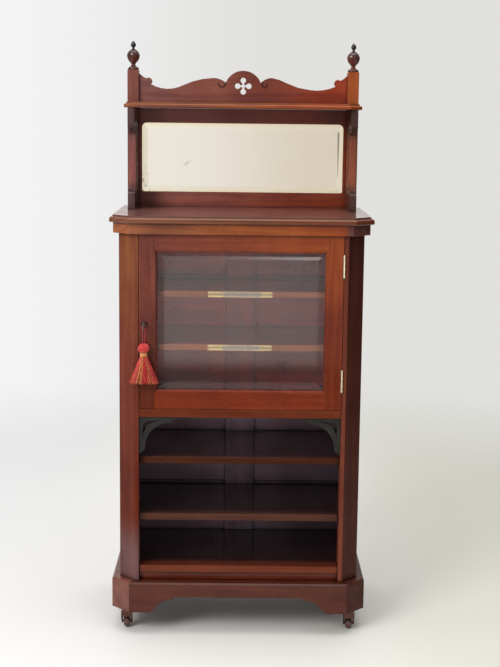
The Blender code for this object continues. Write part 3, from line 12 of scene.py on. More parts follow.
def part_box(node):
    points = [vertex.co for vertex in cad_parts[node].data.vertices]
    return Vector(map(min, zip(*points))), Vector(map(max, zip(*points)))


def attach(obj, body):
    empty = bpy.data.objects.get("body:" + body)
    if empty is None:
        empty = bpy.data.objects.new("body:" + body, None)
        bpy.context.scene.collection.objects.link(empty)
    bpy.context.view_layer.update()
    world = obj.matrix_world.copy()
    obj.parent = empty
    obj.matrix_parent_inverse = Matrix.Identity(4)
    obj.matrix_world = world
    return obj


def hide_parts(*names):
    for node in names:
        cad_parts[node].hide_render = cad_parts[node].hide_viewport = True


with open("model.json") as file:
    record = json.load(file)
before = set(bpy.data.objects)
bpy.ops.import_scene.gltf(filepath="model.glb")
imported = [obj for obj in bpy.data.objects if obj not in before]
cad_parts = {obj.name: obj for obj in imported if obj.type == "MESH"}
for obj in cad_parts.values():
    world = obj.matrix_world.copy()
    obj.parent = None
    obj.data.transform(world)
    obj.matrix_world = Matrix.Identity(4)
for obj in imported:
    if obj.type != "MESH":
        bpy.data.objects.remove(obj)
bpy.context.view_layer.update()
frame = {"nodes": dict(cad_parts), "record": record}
scene = bpy.context.scene
nodes = frame["nodes"]

SIDES = (("left", -1), ("right", 1))


def add_object(name, data):
    made = bpy.data.objects.new(name, data)
    scene.collection.objects.link(made)
    return made


# Places read from the parts

FRONT_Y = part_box("corner_post_right")[0][1]
key_joint = next(joint for joint in frame["record"]["behaviour"]["joints"] if joint["name"] == "key_turn")
KEY = Vector(key_joint["pos_m"])


# Camera

FOCAL_PIXELS = 1338.07
FRAME_HEIGHT = 667
PITCH = 0.1612
YAW = 0.0081
ROLL = 0.0116
CAMERA_X = -0.0035
CAMERA_Z = 1.2268
CAMERA_DISTANCE = 3.0604
SENSOR = 36.0
CLIP_START = 0.01


def build_camera():
    right = Vector((math.cos(YAW), -math.sin(YAW), 0))
    ahead = Vector(
        (math.sin(YAW) * math.cos(PITCH), math.cos(YAW) * math.cos(PITCH), -math.sin(PITCH))
    )
    up = right.cross(ahead)
    across = right * math.cos(ROLL) + up * math.sin(ROLL)
    above = up * math.cos(ROLL) - right * math.sin(ROLL)
    matrix = Matrix((across, above, -ahead)).transposed().to_4x4()
    matrix.translation = (CAMERA_X, FRONT_Y - CAMERA_DISTANCE, CAMERA_Z)
    data = bpy.data.cameras.new("camera")
    data.sensor_width = SENSOR
    data.lens = FOCAL_PIXELS / FRAME_HEIGHT * SENSOR
    data.clip_start = CLIP_START
    camera = add_object("camera", data)
    camera.matrix_world = matrix
    scene.camera = camera


build_camera()


# Node trees

AXES = {"X": 0, "Y": 1, "Z": 2}


class Tree:
    """A node tree and short calls that add nodes to it."""

    def __init__(self, tree, output):
        self.tree = tree
        self.output = tree.nodes[output]

    def add(self, kind, feeds=None, **settings):
        node = self.tree.nodes.new("ShaderNode" + kind)
        for setting, value in settings.items():
            setattr(node, setting, value)
        for socket, value in (feeds or {}).items():
            self.feed(node.inputs[socket], value)
        return node

    def feed(self, socket, value):
        if isinstance(value, bpy.types.NodeSocket):
            self.tree.links.new(value, socket)
        else:
            socket.default_value = value

    def math(self, operation, first, second=0.0, clamp=False):
        node = self.add("Math", {0: first, 1: second}, operation=operation, use_clamp=clamp)
        return node.outputs[0]

    def both(self, first, second):
        return self.math("MULTIPLY", first, second)

    def plus(self, first, second, clamp=False):
        return self.math("ADD", first, second, clamp)

    def minus(self, first, second, clamp=False):
        return self.math("SUBTRACT", first, second, clamp)

    def ramp(self, factor, low, high, to_low=0.0, to_high=1.0):
        """A smooth step of the factor from low to high."""
        node = self.add(
            "MapRange",
            {"Value": factor, "From Min": low, "From Max": high, "To Min": to_low, "To Max": to_high},
            interpolation_type="SMOOTHSTEP",
        )
        return node.outputs["Result"]

    def between(self, factor, first, second):
        """A value from the first to the second as the factor goes from zero to one."""
        return self.ramp(factor, 0, 1, first, second)

    def mix(self, factor, first, second, blend="MIX"):
        node = self.add("Mix", data_type="RGBA", blend_type=blend)
        self.feed(node.inputs["Factor"], factor)
        self.feed(node.inputs["A"], first)
        self.feed(node.inputs["B"], second)
        return node.outputs["Result"]

    def tinted(self, colour, tint):
        return self.mix(1.0, colour, tint, "MULTIPLY")

    def show(self, share, first, second):
        """Let a share of the second shader show over the first."""
        mixed = self.add("MixShader", {0: share, 1: first.outputs[0], 2: second.outputs[0]})
        self.feed(self.output.inputs["Surface"], mixed.outputs[0])

    def parts(self, vector):
        node = self.add("SeparateXYZ", {0: vector})
        return node.outputs["X"], node.outputs["Y"], node.outputs["Z"]


class Finish(Tree):
    """A material with a Principled shader."""

    def __init__(self, name, **fixed):
        self.material = bpy.data.materials.new(name)
        self.material.use_nodes = True
        super().__init__(self.material.node_tree, "Material Output")
        self.shader = self.tree.nodes["Principled BSDF"]
        for socket, value in fixed.items():
            self.shader.inputs[socket.replace("_", " ")].default_value = value

    def coords(self):
        """Places on the object, in metres."""
        return self.add("TexCoord").outputs["Object"]

    def along(self, axis):
        return self.parts(self.coords())[AXES[axis]]

    def facing(self, axis):
        """How far a face looks along one axis."""
        return self.parts(self.add("NewGeometry").outputs["True Normal"])[AXES[axis]]

    def place(self, scale=(1, 1, 1), shift=0.0, ratios=(1, 1, 1)):
        """Places, scaled, and shifted so that each piece has its own pattern."""
        offset = tuple(shift * ratio for ratio in ratios)
        node = self.add("Mapping", {"Vector": self.coords(), "Location": offset, "Scale": scale})
        return node.outputs["Vector"]

    def noise(self, vector, scale, detail=3.0, rough=0.5, distortion=0.0):
        feeds = {"Vector": vector, "Scale": scale, "Detail": detail, "Roughness": rough}
        feeds["Distortion"] = distortion
        return self.add("TexNoise", feeds).outputs["Fac"]

    def bump(self, height, distance, normal=None, strength=1.0):
        feeds = {"Height": height, "Distance": distance, "Strength": strength}
        if normal is not None:
            feeds["Normal"] = normal
        return self.add("Bump", feeds).outputs["Normal"]

    def hollow(self, reach, low=0.85, high=0.25):
        """One in crevices narrower than the reach, zero in the open."""
        cover = self.add("AmbientOcclusion", {"Distance": reach}, samples=4).outputs["AO"]
        return self.ramp(cover, low, high)

    def edges(self, radius):
        """The rounded normal near arrises, and how much it departs from the flat one."""
        rounded = self.add("Bevel", {"Radius": radius}, samples=4).outputs["Normal"]
        true = self.add("NewGeometry").outputs["True Normal"]
        product = self.add("VectorMath", {0: rounded, 1: true}, operation="DOT_PRODUCT")
        return rounded, self.minus(1.0, product.outputs["Value"], clamp=True)

    def tone_along(self, axis, stops):
        """A colour that changes along one axis from stop to stop."""
        if len(stops) == 1:
            return (*stops[0][1], 1)
        low, high = stops[0][0], stops[-1][0]
        share = self.add("MapRange", {"Value": self.along(axis), "From Min": low, "From Max": high})
        node = self.add("ValToRGB", {"Fac": share.outputs["Result"]})
        node.color_ramp.interpolation = "EASE"
        elements = node.color_ramp.elements
        while len(elements) < len(stops):
            elements.new(0.5)
        for element, (level, tone) in zip(elements, stops):
            element.position = (level - low) / (high - low)
            element.color = (*tone, 1)
        return node.outputs["Color"]

    def set(self, socket, value):
        self.feed(self.shader.inputs[socket], value)


def around(middle, offsets):
    return tuple(middle + offset for offset in offsets)


def shaded(tone, factor):
    return tuple(min(1, part * factor) for part in tone)


def shade(tone, factor=1):
    """A tone made lighter or darker, as a colour with its alpha."""
    return (*shaded(tone, factor), 1)


# Finishes
# A noise is scale per metre, detail, roughness, distortion; a span, where a smooth step starts and ends

GRAIN_SCALES = {"X": (0.05, 1, 1), "Y": (1, 0.05, 1), "Z": (1, 1, 0.05)}
GRAIN_SHIFTS = (1, 1.7, 2.3)

FIGURE = (17, 3, 0.55, 0.3)
RIBBON = (38, 4, 0.6, 0.2)
BLOTCHES = (8, 4, 0.62)
PORES = (520, 2, 0.6)
SMUDGES = (24, 4, 0.6)
BANDS = 40.0
BAND_SHARE = 0.16
RIBBON_SHARE = 0.5
BLOTCH_SHARE = 0.75
PORE_SHARE = 0.3
PORE_SHADE = 0.35
STREAK_SPAN = (0.42, 1.0)
PORE_SPAN = (0.56, 0.72)
EDGE_SPAN = (0.03, 0.25)
EDGE_PATCH_SPAN = (0.3, 0.6)
UPWARD_SPAN = (0.7, 0.98)
SMUDGE_SPAN = (0.3, 0.75)
GLOSS_SPREAD = (-0.04, 0.08)
DARK_FIGURE = (0.74, 0.66, 0.72, 1)
LIGHT_FIGURE = (1.22, 1.3, 1.2, 1)
EDGE_WEAR_AND_HIGHLIGHT = (1.9, 2.2, 2.1, 1)
DARKENED = (0.35, 0.3, 0.34, 1)
CREVICE_GRIME_AND_SHADE = (0.2, 0.17, 0.22, 1)
ARRIS = 0.0016
GRIME_AND_SHADE_REACH = 0.012
COAT_ROUGHNESS = 0.07
PAINTED_SHEEN_SHARE = 0.6
WAVER = 0.0003
WAVER_STRENGTH = 0.08


def wood(
    name, grain, axis, stops, gloss=0.24, coat=0.15, specular=0.18, worn=0.5, edge_tint=EDGE_WEAR_AND_HIGHLIGHT,
    painted_sheen=None, shine=None, shift=0.0,
):
    """Polished mahogany: quiet ribbon figure, fine pores, crevices darkened with grime and painted shade,
    arrises tinted in patches, by default lighter for wear and a painted highlight. The tone changes along
    one axis from stop to stop, each a level in metres and a tone. Upward faces may take a paler painted
    sheen or shine more."""
    finish = Finish(name, Coat_Weight=coat, Coat_Roughness=COAT_ROUGHNESS, Specular_IOR_Level=specular)
    vector = finish.place(GRAIN_SCALES[grain], shift, GRAIN_SHIFTS)
    base = finish.tone_along(axis, stops)
    figure = finish.noise(vector, *FIGURE)
    bands = finish.ramp(finish.math("SINE", finish.both(figure, BANDS)), -1.0, 1.0)
    ribbon = finish.noise(vector, *RIBBON)
    blotch = finish.noise(finish.place(shift=shift), *BLOTCHES)
    fine = finish.noise(vector, *PORES)
    streak = finish.plus(finish.both(bands, BAND_SHARE), finish.both(ribbon, RIBBON_SHARE))
    streak = finish.plus(streak, finish.both(blotch, BLOTCH_SHARE))
    dark = finish.tinted(base, DARK_FIGURE)
    light = finish.tinted(base, LIGHT_FIGURE)
    colour = finish.mix(finish.ramp(streak, *STREAK_SPAN), dark, light)
    pores = finish.both(finish.ramp(fine, *PORE_SPAN), PORE_SHARE)
    colour = finish.mix(pores, colour, shade(stops[0][1], PORE_SHADE))
    rounded, edge = finish.edges(ARRIS)
    # Arrises tinted in patches, by default lighter: wear and a painted highlight.
    edge_patches = finish.both(finish.ramp(edge, *EDGE_SPAN), finish.ramp(blotch, *EDGE_PATCH_SPAN))
    colour = finish.mix(finish.both(edge_patches, worn), colour, finish.tinted(colour, edge_tint))
    # Crevices darkened: grime and painted shade.
    colour = finish.mix(finish.hollow(GRIME_AND_SHADE_REACH), colour, finish.tinted(colour, CREVICE_GRIME_AND_SHADE))
    upward = finish.ramp(finish.facing("Z"), *UPWARD_SPAN)
    # Upward faces paler: a painted sheen.
    if painted_sheen:
        colour = finish.mix(upward, colour, finish.mix(PAINTED_SHEEN_SHARE, colour, shade(painted_sheen)))
    if shine:
        finish.set("Coat Weight", finish.between(upward, coat, shine))
    finish.set("Base Color", colour)
    smudge = finish.noise(finish.place(shift=shift, ratios=(1, 0, 0)), *SMUDGES)
    finish.set("Roughness", finish.ramp(smudge, *SMUDGE_SPAN, *around(gloss, GLOSS_SPREAD)))
    finish.set("Normal", finish.bump(figure, WAVER, rounded, WAVER_STRENGTH))
    return finish.material


DULL_FIGURE = (30, 4, 0.6, 0.4)
DULL_BLOTCHES = (11, 4, 0.65)
DULL_PORES = (300, 3, 0.7)
DULL_SHIFTS = (1, 1.3, 2.1)
DULL_FIGURE_SHARE = 0.6
DULL_BLOTCH_SHARE = 0.5
DULL_STREAK_SPAN = (0.35, 0.75)
DULL_PORE_SPAN = (0.5, 0.7)
DULL_PORE_SHARE = 0.4
DULL_PORE_SHADE = 0.4
DULL_DARKENING = 0.35
DULL_LIGHT = (1.3, 1.3, 1.3, 1)
DULL_SHADE_REACH = 0.016
DULL_CREVICE_SHADE = (0.2, 0.2, 0.22, 1)
DUST = (0.12, 0.115, 0.125, 1)
DUST_SPAN = (0.45, 0.8)
DUST_FAR = 0.05
DUST_BEHIND = 0.15
REAR_FACE_SPAN = (0.5, 0.8)
BLACK = (0, 0, 0, 1)
PAINTED_SHEEN_LEVELS = (0.36, 0.46)
PAINTED_SHEEN_GAIN = 1.9
DULL_GLOSS_SPAN = (0.3, 0.8)
DULL_GLOSS_SPREAD = (-0.08, 0.15)
FIGURE_RELIEF = 0.0008
FIGURE_STRENGTH = 0.3
PORE_RELIEF = 0.0002
PORE_STRENGTH = 0.5


def dull_wood(
    name, grain, tone, shift=0.0, gloss=0.5, dust=0.25, specular=0.3,
    far_tone=None, levels=(0, 1), rear_tone=None,
):
    """Stained secondary wood with open pores and some dust, darkened in crevices with painted shade. With a
    far tone, the colour first turns paler with height, a painted sheen, and then takes that tone, painted
    light. The rear may be left raw."""
    finish = Finish(name, Specular_IOR_Level=specular)
    vector = finish.place(GRAIN_SCALES[grain], shift, DULL_SHIFTS)
    figure = finish.noise(vector, *DULL_FIGURE)
    blotch = finish.noise(finish.place(shift=shift, ratios=(1, 1, 0)), *DULL_BLOTCHES)
    fine = finish.noise(vector, *DULL_PORES)
    streak = finish.plus(finish.both(figure, DULL_FIGURE_SHARE), finish.both(blotch, DULL_BLOTCH_SHARE))
    base = shade(tone)
    if far_tone:
        height = finish.along("Z")
        # Paler with height in the open bays: a painted sheen; past the levels the far tone, painted light.
        base = finish.mix(finish.ramp(height, *PAINTED_SHEEN_LEVELS), base, shade(tone, PAINTED_SHEEN_GAIN))
        far = finish.ramp(height, *levels)
        base = finish.mix(far, base, shade(far_tone))
        dust = finish.between(far, dust, DUST_FAR)
    if rear_tone:
        behind = finish.ramp(finish.facing("Y"), *REAR_FACE_SPAN)
        base = finish.mix(behind, base, shade(rear_tone))
        dust = finish.between(behind, dust, DUST_BEHIND)
    dark = finish.mix(DULL_DARKENING, base, BLACK)
    light = finish.tinted(base, DULL_LIGHT)
    colour = finish.mix(finish.ramp(streak, *DULL_STREAK_SPAN), dark, light)
    pores = finish.both(finish.ramp(fine, *DULL_PORE_SPAN), DULL_PORE_SHARE)
    colour = finish.mix(pores, colour, shade(tone, DULL_PORE_SHADE))
    colour = finish.mix(finish.both(finish.ramp(blotch, *DUST_SPAN), dust), colour, DUST)
    # Crevices darkened: painted shade.
    colour = finish.mix(finish.hollow(DULL_SHADE_REACH), colour, finish.tinted(colour, DULL_CREVICE_SHADE))
    finish.set("Base Color", colour)
    finish.set("Roughness", finish.ramp(blotch, *DULL_GLOSS_SPAN, *around(gloss, DULL_GLOSS_SPREAD)))
    figured = finish.bump(figure, FIGURE_RELIEF, None, FIGURE_STRENGTH)
    finish.set("Normal", finish.bump(fine, PORE_RELIEF, figured, PORE_STRENGTH))
    return finish.material


METAL_ARRIS = 0.0004
METAL_CREVICE = 0.004
METAL_CREVICE_SPAN = (0.95, 0.35)
METAL_CLOUD = (5, 0.65)
METAL_SPECK = (2, 0.6)
METAL_SPECK_RATIO = 7
METAL_EDGE_SPAN = (0.02, 0.25)
METAL_GLOSS_SPAN = (0.3, 0.75)
METAL_GLOSS_SPREAD = (-0.08, 0.2)
STAINING = 0.5
STAIN_SPAN = (0.35, 0.7)
SPECK_RELIEF = 0.00006
SPECK_STRENGTH = 0.5


def metal(name, tone, dark, rough=0.3, scale=180.0):
    """Aged metal: bright where handling has polished it, stained in the hollows."""
    finish = Finish(name, Metallic=1.0)
    vector = finish.place()
    cloud = finish.noise(vector, scale, *METAL_CLOUD)
    speck = finish.noise(vector, scale * METAL_SPECK_RATIO, *METAL_SPECK)
    old = finish.both(finish.ramp(cloud, *STAIN_SPAN), STAINING)
    old = finish.plus(old, finish.hollow(METAL_CREVICE, *METAL_CREVICE_SPAN), clamp=True)
    rounded, edge = finish.edges(METAL_ARRIS)
    old = finish.minus(old, finish.ramp(edge, *METAL_EDGE_SPAN), clamp=True)
    finish.set("Base Color", finish.mix(old, shade(tone), shade(dark)))
    finish.set("Roughness", finish.ramp(cloud, *METAL_GLOSS_SPAN, *around(rough, METAL_GLOSS_SPREAD)))
    finish.set("Normal", finish.bump(speck, SPECK_RELIEF, rounded, SPECK_STRENGTH))
    return finish.material


THREAD_SHADE_REACH = 0.003
THREAD_SHADE_SPAN = (0.9, 0.2)
THREAD_CLOUD = (240, 3, 0.6)
THREAD_CLOUD_SPAN = (0.3, 0.7)
THREAD_DARK = 0.62
THREAD_LIGHT = 1.25
THREAD_SHADE = 0.3
THREAD_GLOSS = (0.38, 0.55)
PLY_SLANT = (0.6, 0.5, 0)
PLY_RELIEF = 0.00015
PLY_STRENGTH = 0.6


def silk(name, tone, twist=900.0):
    """Shiny thread, a little uneven in colour, darkened with painted shade where threads meet, with its ply
    as fine slanting ridges.
    """
    finish = Finish(name, Sheen_Weight=0.5, Sheen_Roughness=0.35, Specular_IOR_Level=0.45)
    vector = finish.place()
    cloud = finish.noise(vector, *THREAD_CLOUD)
    uneven = finish.ramp(cloud, *THREAD_CLOUD_SPAN)
    colour = finish.mix(uneven, shade(tone, THREAD_DARK), shade(tone, THREAD_LIGHT))
    # Painted shade in the hollows between threads.
    between_threads = finish.hollow(THREAD_SHADE_REACH, *THREAD_SHADE_SPAN)
    finish.set("Base Color", finish.mix(between_threads, colour, shade(tone, THREAD_SHADE)))
    finish.set("Roughness", finish.ramp(cloud, *THREAD_CLOUD_SPAN, *THREAD_GLOSS))
    slant = finish.add("Mapping", {"Vector": vector, "Rotation": PLY_SLANT}).outputs["Vector"]
    feeds = {"Vector": slant, "Scale": twist, "Distortion": 0.6, "Detail": 1.0}
    ply = finish.add("TexWave", feeds).outputs["Fac"]
    finish.set("Normal", finish.bump(ply, PLY_RELIEF, None, PLY_STRENGTH))
    return finish.material


GLASS_TONE = (0.95, 0.89, 0.89, 1)
GLASS_SHADOW = (0.95, 0.94, 0.94, 1)
# Each layer of dust: how its noise is stretched, the noise, the span and the dust at its ends
GLASS_FILM = ((1, 1, 0.5), (12, 4, 0.6), (0.25, 0.8), (0.006, 0.013))
GLASS_WIPES = ((1, 1, 0.02), (200, 2, 0.6), (0.4, 0.75), (0.0, 0.008))


def dusty_glass(name):
    """Old plate glass with a faint film of dust, wiped from top to bottom. Shadow rays pass, so that
    light reaches the shelves."""
    finish = Finish(name, IOR=1.5, Roughness=0.0)
    layers = []
    for scale, noise, span, shares in (GLASS_FILM, GLASS_WIPES):
        layers.append(finish.ramp(finish.noise(finish.place(scale), *noise), *span, *shares))
    finish.set("Transmission Weight", finish.minus(1.0, finish.plus(*layers)))
    finish.set("Base Color", GLASS_TONE)
    clear = finish.add("BsdfTransparent", {"Color": GLASS_SHADOW})
    finish.show(finish.add("LightPath").outputs["Is Shadow Ray"], finish.shader, clear)
    return finish.material


MIRROR_SILVER = (0.93, 0.885, 0.80, 1)
MIRROR_YELLOW = (0.90, 0.80, 0.60, 1)
MIRROR_WARM = (0.84, 0.73, 0.56, 1)
MIRROR_CLOUDS = (12, 4, 0.55, 0.3)
MIRROR_GLOSS = 0.03
RIM_SPAN = (0.014, -0.004)
RIM_WAVER = -0.016
WARM_SPAN = (-0.12, 0.2)
WARM_CLOUD_SPAN = (0.25, 0.7)
WARM_SHARES = (0.7, 1.0)
WARM_SHARE = 0.75
FOX_NOISE = (170, 4, 0.75)
FOX_SPAN = (0.52, 0.6)
FOX_SHARE = 0.6
FOX_GLOSS = 0.3
FOX_TONE = (0.16, 0.12, 0.08, 1)
FOX_REACH = (0.03, 0.01)
FOX_RIM_SPAN = (0.01, 0.001)
FOX_RIM_SHARE = 0.3
MARK_PLACE = (-0.1405, 0.1761, 1.1072)
MARK_TURN = -0.55
MARK_SIZE = (0.015, 1, 0.0042)
MARK_TONE = (0.35, 0.33, 0.31, 1)
MARK_SPAN = (1.2, 0.3)
MARK_SPECK_SPAN = (0.42, 0.56)
MARK_SHARE = 0.5
LINE_INSET = 0.0165
LINE_LEVELS = (0.05, -0.03)
LINE_SPAN = (1.0, 0.4)
LINE_LOW = (0.035, 0.06)
LINE_HIGH = (-0.018, -0.028)
LINE_SHARE = 0.75
LINE_BREADTHS = (0.0012, 0.0034)
ARRIS_REFLECTION_TONE = (0.12, 0.12, 0.12, 1)
WEDGE_TILT = -0.52


def inside(finish, place, low, high):
    """How far a place lies inside the nearer of two ends."""
    off = finish.math("ABSOLUTE", finish.minus(place, (low + high) / 2))
    return finish.minus((high - low) / 2, off)


def aged_mirror(name, low, high):
    """Silvered plate with a bevel that bends what the silvering behind it shows. It is yellowed at the rim
    and to the right, with specks of foxing low on the left and a mark left by rubbing. A thin dark line is
    painted along the arris of the bevel on the right: a painted reflection."""
    finish = Finish(name, Metallic=1.0)
    coords = finish.coords()
    across, _, height = finish.parts(coords)
    from_side = inside(finish, across, low[0], high[0])
    from_end = inside(finish, height, low[2], high[2])
    rim = finish.math("MINIMUM", from_side, from_end)
    cloud = finish.noise(coords, *MIRROR_CLOUDS)
    uneven = finish.plus(rim, finish.both(cloud, RIM_WAVER))
    colour = finish.mix(finish.ramp(uneven, *RIM_SPAN), MIRROR_SILVER, MIRROR_YELLOW)
    clouded = finish.ramp(cloud, *WARM_CLOUD_SPAN, *WARM_SHARES)
    warm = finish.both(finish.ramp(across, *WARM_SPAN), clouded)
    colour = finish.mix(finish.both(warm, WARM_SHARE), colour, MIRROR_WARM)

    fox = finish.noise(coords, *FOX_NOISE)
    on_left = finish.ramp(across, *around(low[0], FOX_REACH))
    corner = finish.both(on_left, finish.ramp(height, (low[2] + high[2]) / 2, low[2]))
    at_rim = finish.both(finish.ramp(rim, *FOX_RIM_SPAN), FOX_RIM_SHARE)
    spots = finish.both(finish.ramp(fox, *FOX_SPAN), finish.plus(corner, at_rim, clamp=True))
    colour = finish.mix(finish.both(spots, FOX_SHARE), colour, FOX_TONE)

    tilted = finish.add(
        "Mapping",
        {"Vector": coords, "Location": MARK_PLACE, "Rotation": (0, MARK_TURN, 0), "Scale": MARK_SIZE},
        vector_type="TEXTURE",
    ).outputs["Vector"]
    away = finish.add("VectorMath", {0: tilted}, operation="LENGTH").outputs["Value"]
    mark = finish.both(finish.ramp(away, *MARK_SPAN), finish.ramp(fox, *MARK_SPECK_SPAN))
    colour = finish.mix(finish.both(mark, MARK_SHARE), colour, MARK_TONE)

    # A thin dark line along the right bevel's arris: a painted reflection.
    off_line = finish.math("ABSOLUTE", finish.minus(across, high[0] - LINE_INSET))
    levels = (low[2] + LINE_LEVELS[0], high[2] + LINE_LEVELS[1])
    breadth = finish.ramp(height, *levels, *LINE_BREADTHS)
    line = finish.ramp(finish.math("DIVIDE", off_line, breadth), *LINE_SPAN)
    line = finish.both(line, finish.ramp(height, *around(low[2], LINE_LOW)))
    line = finish.both(line, finish.ramp(height, *around(high[2], LINE_HIGH)))
    colour = finish.mix(finish.both(line, LINE_SHARE), colour, ARRIS_REFLECTION_TONE)
    finish.set("Base Color", colour)
    finish.set("Roughness", finish.plus(MIRROR_GLOSS, finish.both(spots, FOX_GLOSS)))

    lean_x, lean_y, lean_z = finish.parts(finish.add("NewGeometry").outputs["Normal"])
    leaning = finish.add(
        "CombineXYZ",
        {"X": finish.both(lean_x, WEDGE_TILT), "Y": lean_y, "Z": finish.both(lean_z, WEDGE_TILT)},
    ).outputs["Vector"]
    finish.set("Normal", finish.add("VectorMath", {0: leaning}, operation="NORMALIZE").outputs["Vector"])
    return finish.material


# Wood of each piece: its grain, the axis and stops of its tone, and what differs from plain polish. Besides
# the wood's own colour, the tones hold painted light and shade: lit left and shaded right faces of one wood,
# dark right cants, a warmer, brighter right side of the fronts (a painted reflection) and a painted floor
# reflection at the foot of the left post

AMBER = (0.24, 0.075, 0.034)
ORANGE = (0.29, 0.058, 0.012)
RED = (0.185, 0.028, 0.009)
ROSE = (0.21, 0.062, 0.046)
PINK = (0.27, 0.092, 0.080)
WINE = (0.16, 0.037, 0.024)
DEEP = (0.105, 0.018, 0.008)
PURPLE = (0.075, 0.030, 0.030)
PLINTH = (0.074, 0.016, 0.009)
BROWN = (0.066, 0.019, 0.010)
TAN = (0.16, 0.048, 0.017)
FLOOR_REFLECTION_TONE = (0.12, 0.055, 0.055)
INK = (0.020, 0.016, 0.017)
SHADOWED = (0.018, 0.0075, 0.0065)
RAW = (0.17, 0.088, 0.048)
BACK_LOW = (0.16, 0.095, 0.125)
BACK_HIGH = (0.40, 0.042, 0.040)
BACK_HIGH_LEFT = (0.56, 0.052, 0.048)

POLISHED_TOP = {"gloss": 0.17, "coat": 0.3, "specular": 0.35, "painted_sheen": (0.25, 0.125, 0.115)}
POLISHED_SHELF = {"gloss": 0.16, "coat": 0.08, "specular": 0.12, "shine": 0.95}
FADED_POST = {"specular": 0.06, "coat": 0.06}
DULL = {"gloss": 0.3, "coat": 0.05, "specular": 0.06}
DARK_RIM = {"edge_tint": DARKENED, "worn": 1.0}
TURNED = {"gloss": 0.2, "coat": 0.45}
BACK = {"gloss": 0.34, "specular": 0.5, "dust": 0.5, "levels": (0.53, 0.56), "rear_tone": RAW}

SHELF_EDGE = 0.018
SHELF_SHADE = 0.065
BODY_REACH = 0.22


def plain(tone):
    return "X", ((0, tone),)


def across(left, right, middle=None):
    """From the left of the body to its right."""
    stops = [(-BODY_REACH, left), (BODY_REACH, right)]
    if middle:
        stops.insert(1, (0.0, middle))
    return "X", stops


def sideways(*stops):
    return "X", stops


def rising(*stops):
    return "Z", stops


def inward(front):
    """From a shelf's front edge to its dark inner part: painted shade."""
    return "Y", ((FRONT_Y + SHELF_EDGE, front), (FRONT_Y + SHELF_SHADE, SHADOWED))


def bracket(ends, waist):
    return rising((1.04, ends), (1.075, waist), (1.16, waist), (1.20, ends))


FINIAL = rising((1.33, PURPLE), (1.355, shaded(WINE, 0.7)), (1.38, PURPLE), (1.39, INK))
# The foot of the left post carries a painted floor reflection; the right post's cant is painted darker, as
# shade.
POST_LEFT = rising((0.19, FLOOR_REFLECTION_TONE), (0.29, DEEP), (0.6, WINE), (0.93, shaded(AMBER, 0.9)))
POST_RIGHT = sideways((0.2462, (0.145, 0.036, 0.022)), (0.2476, (0.066, 0.017, 0.012)))
STILE_RIGHT = rising((0.56, shaded(RED, 0.82)), (0.74, shaded(RED, 0.9)), (0.9, ORANGE))
# The frieze's left cant is painted lighter and its right cant darker: painted light and shade.
FRIEZE = sideways(
    (-0.25, shaded(AMBER, 1.25)), (-0.19, shaded(AMBER, 0.85)), (0.0, (0.31, 0.078, 0.020)),
    (0.235, ORANGE), (0.25, (0.13, 0.046, 0.040)),
)
TOP = across((0.165, 0.053, 0.027), (0.13, 0.030, 0.010), (0.135, 0.039, 0.014))
CREST = sideways(
    (-0.25, (0.20, 0.076, 0.066)), (-0.08, ROSE), (0.05, WINE), (0.24, (0.26, 0.036, 0.010)),
)
WOODS = {
    "plinth_front": ("X", plain(PLINTH), {}),
    # The left return is painted lighter than the right one: painted light and shade.
    "plinth_return_left": ("Y", plain((0.15, 0.050, 0.036)), {}),
    "plinth_return_right": ("Y", plain((0.068, 0.021, 0.015)), DULL),
    "plinth_back": ("X", plain(shaded(PLINTH, 0.8)), {}),
    "bottom_rail": ("X", plain(DEEP), {}),
    "bottom_board": ("X", inward((0.125, 0.024, 0.009)), POLISHED_SHELF),
    "open_shelf_lower": ("X", inward((0.072, 0.023, 0.013)), POLISHED_SHELF),
    "open_shelf_upper": ("X", inward(shaded(BROWN, 0.85)), POLISHED_SHELF),
    "cupboard_floor": ("X", inward((0.125, 0.026, 0.011)), POLISHED_SHELF),
    "cupboard_shelf_lower": ("X", inward(TAN), POLISHED_SHELF),
    "cupboard_shelf_upper": ("X", inward(TAN), POLISHED_SHELF),
    "corner_post_left": ("Z", POST_LEFT, FADED_POST),
    "corner_post_right": ("Z", POST_RIGHT, DULL),
    "side_panel_left": ("Z", plain(RED), {}),
    "side_panel_right": ("Z", plain(RED), {}),
    "frieze": ("X", FRIEZE, {}),
    "top_board": ("X", TOP, POLISHED_TOP),
    "door_stile_left": ("Z", rising((0.56, DEEP), (0.86, WINE)), {}),
    "door_stile_right": ("Z", STILE_RIGHT, {}),
    "door_rail_bottom": ("X", plain(RED), {}),
    "door_rail_top": ("X", across(shaded(WINE, 1.2), shaded(ORANGE, 1.1)), {}),
    "glazing_bead": ("X", plain(RED), {}),
    "gallery_post_left": ("Z", plain((0.20, 0.066, 0.050)), {}),
    "gallery_post_right": ("Z", plain((0.31, 0.070, 0.014)), {}),
    "finial_left": ("Z", FINIAL, TURNED),
    "finial_right": ("Z", FINIAL, TURNED),
    "shelf_bracket_left": ("Z", bracket((0.09, 0.045, 0.048), PINK), {}),
    "shelf_bracket_right": ("Z", bracket((0.055, 0.024, 0.019), (0.26, 0.073, 0.036)), {}),
    "gallery_shelf": ("X", across(AMBER, ORANGE), {"coat": 0.3}),
    "mirror_frame": ("X", across((0.30, 0.092, 0.075), (0.21, 0.032, 0.011)), {}),
    "crest": ("X", CREST, DARK_RIM),
}
# Back boards and muntin: paler higher up in the open bays and redder and brighter behind the glass, most on
# the left: painted sheen and painted light.
BACKS = (
    ("back_muntin", "Z", shaded(BACK_LOW, 0.82), 0.4, shaded(BACK_HIGH, 0.8)),
    ("back_boards_left", "X", BACK_LOW, 1.1, BACK_HIGH_LEFT),
    ("back_boards_right", "X", BACK_LOW, 2.2, BACK_HIGH),
)
GRAIN_STEP = 0.37


